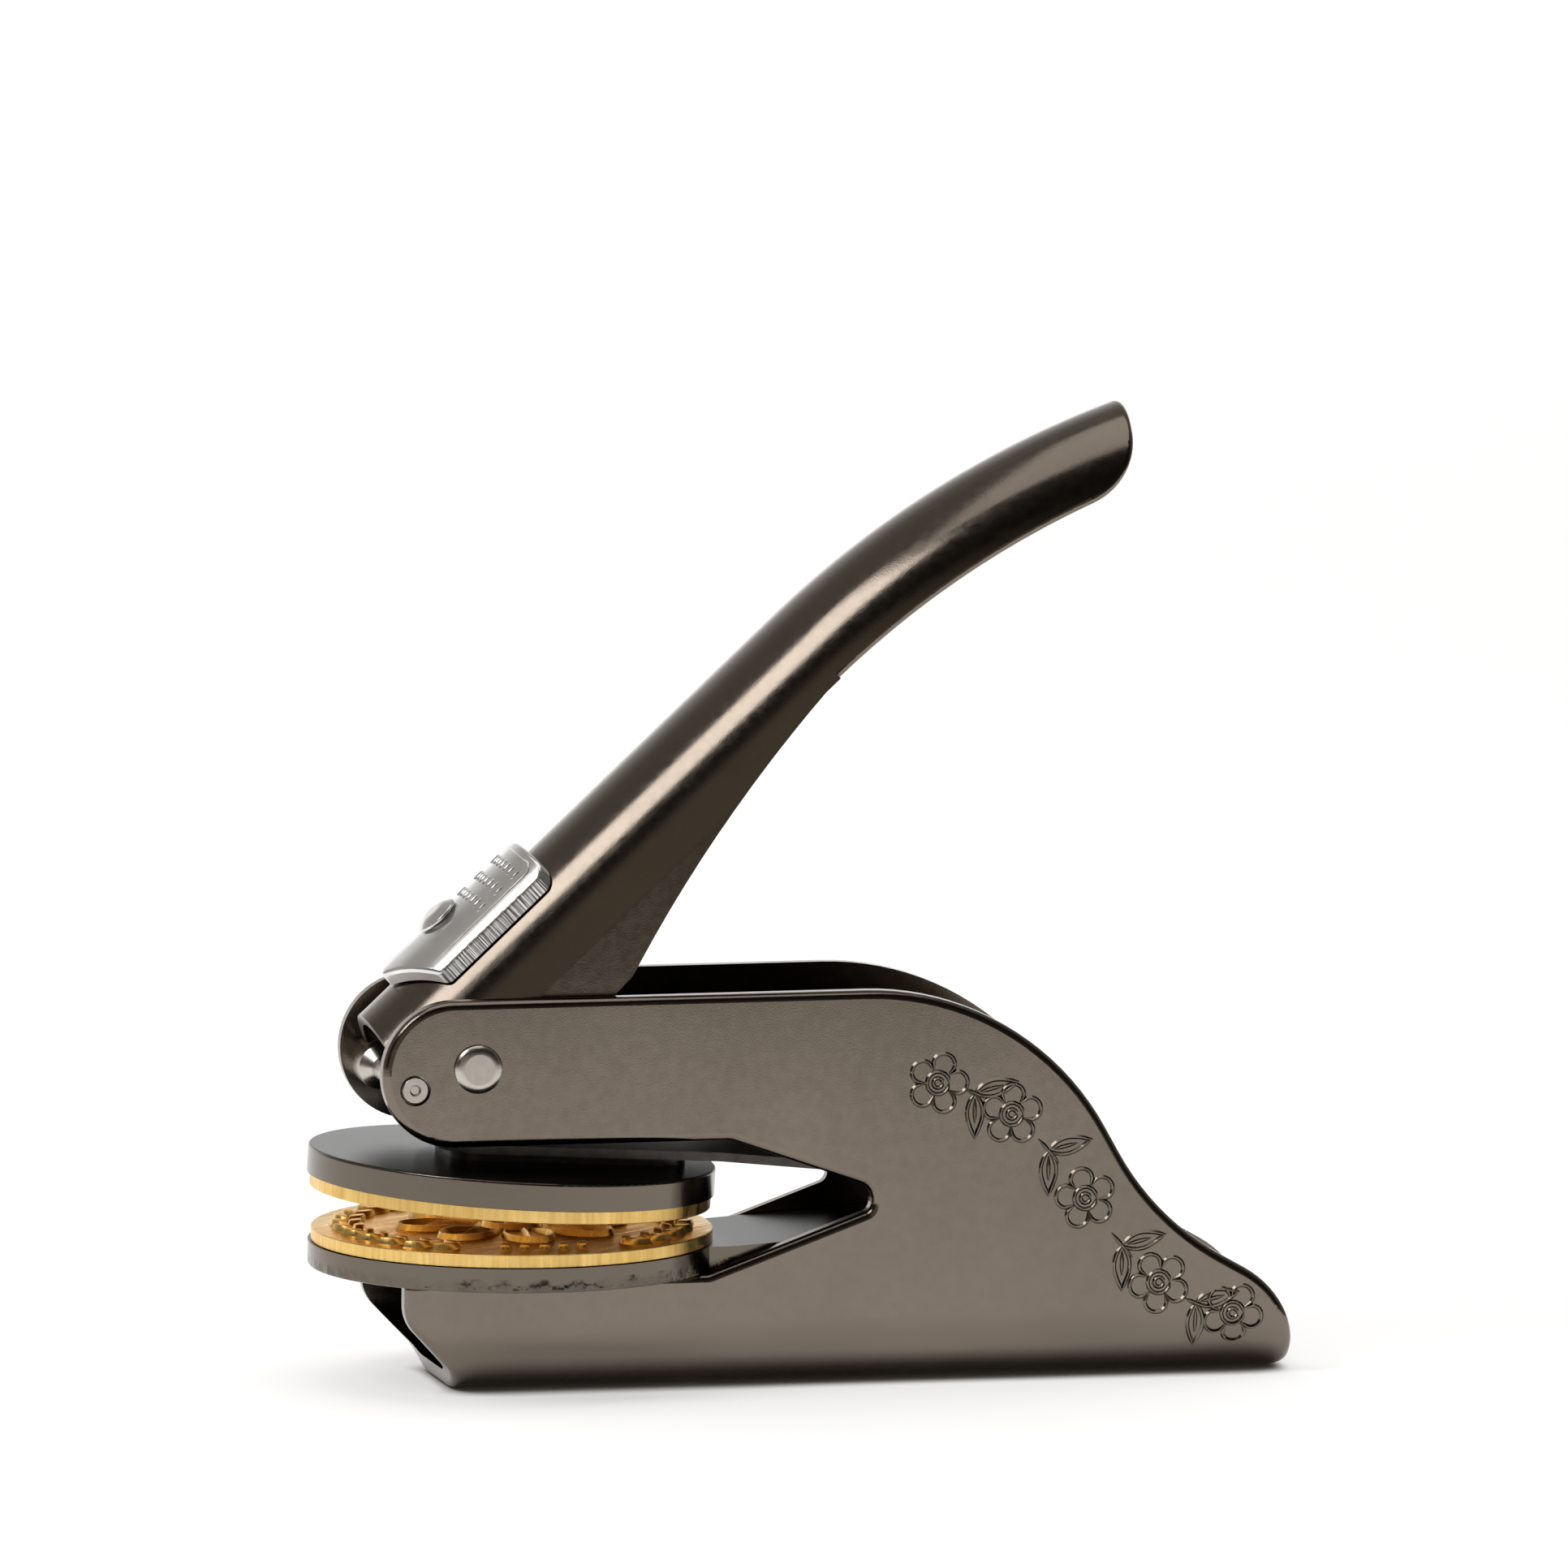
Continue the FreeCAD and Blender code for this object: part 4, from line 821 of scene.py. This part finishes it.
def floor():
    """White sheet: flat under the embosser, swept up behind it."""
    profile = [(FLOOR_FRONT, 0.0), (FLOOR_BACK - SWEEP_RADIUS, 0.0)]
    for step in range(1, SWEEP_STEPS + 1):
        turn = math.radians(90) * step / SWEEP_STEPS
        y = FLOOR_BACK - SWEEP_RADIUS + SWEEP_RADIUS * math.sin(turn)
        profile.append((y, SWEEP_RADIUS * (1 - math.cos(turn))))
    profile.append((FLOOR_BACK, BACKDROP_HEIGHT))
    mesh = bpy.data.meshes.new("floor")
    built = bmesh.new()
    rows = []
    for y, z in profile:
        edges = (-FLOOR_HALF_WIDTH, FLOOR_HALF_WIDTH)
        rows.append([built.verts.new((x, y, z - FLOOR_SINK)) for x in edges])
    for low, high in zip(rows, rows[1:]):
        built.faces.new((low[0], low[1], high[1], high[0]))
    built.to_mesh(mesh)
    built.free()
    sheet = bpy.data.objects.new("floor", mesh)
    bpy.context.scene.collection.objects.link(sheet)
    mesh.materials.append(paper())


def lamp(name, place, size, power):
    """White rectangular lamp that looks at the embosser."""
    data = bpy.data.lights.new(name, "AREA")
    data.shape = "RECTANGLE"
    data.size = size[0]
    data.size_y = size[1]
    data.energy = power
    made = bpy.data.objects.new(name, data)
    bpy.context.scene.collection.objects.link(made)
    made.location = place
    made.rotation_mode = "QUATERNION"
    made.rotation_quaternion = (Vector(LIGHT_TARGET) - Vector(place)).to_track_quat("-Z", "Y")


def lighting():
    """A world that is white to the eye and dim in reflections, and two lamps."""
    world = bpy.data.worlds.new("studio")
    bpy.context.scene.world = world
    world.use_nodes = True
    room = Nodes(world.node_tree)
    way = room.node("ShaderNodeSeparateXYZ")
    room.join(room.node("ShaderNodeTexCoord").outputs["Generated"], way.inputs["Vector"])
    x, y, z = way.outputs
    slant = room.math("ADD", z, room.math("MULTIPLY", x, GLOW_SLANT))
    low_front = room.math("MULTIPLY", room.curve(z, GLOW_TOP), room.curve(y, GLOW_FRONT))
    glow = room.math("MULTIPLY", low_front, room.curve(slant, GLOW_ACROSS))
    room_part = room.tinted(room.curve(y, ROOM_LIGHT), ROOM_TINT)
    glow_part = room.tinted(glow, GLOW_TINT)
    background = world.node_tree.nodes["Background"]
    reflected = room.sum(room_part, glow_part)
    room.join(room.blend(room.seen(), reflected, WHITE), background.inputs["Color"])
    background.inputs["Strength"].default_value = 1.0
    bpy.context.scene.view_settings.view_transform = "Standard"
    lamp("key", *KEY_LAMP)
    lamp("top", *TOP_LAMP)


def camera():
    """The photograph's view, from its place and angles."""
    data = bpy.data.cameras.new("camera")
    data.lens = CAMERA_LENS
    data.sensor_width = CAMERA_SENSOR
    data.clip_end = CAMERA_REACH
    made = bpy.data.objects.new("camera", data)
    bpy.context.scene.collection.objects.link(made)
    azimuth = math.radians(CAMERA_AZIMUTH)
    elevation = math.radians(CAMERA_ELEVATION)
    back = Vector((
        math.sin(azimuth) * math.cos(elevation),
        -math.cos(azimuth) * math.cos(elevation),
        math.sin(elevation),
    ))
    made.location = CAMERA_TARGET + back * CAMERA_DISTANCE
    made.rotation_mode = "QUATERNION"
    roll = Quaternion((0, 0, 1), math.radians(CAMERA_ROLL))
    made.rotation_quaternion = (-back).to_track_quat("-Z", "Y") @ roll
    bpy.context.scene.camera = made


floor()
lighting()
camera()
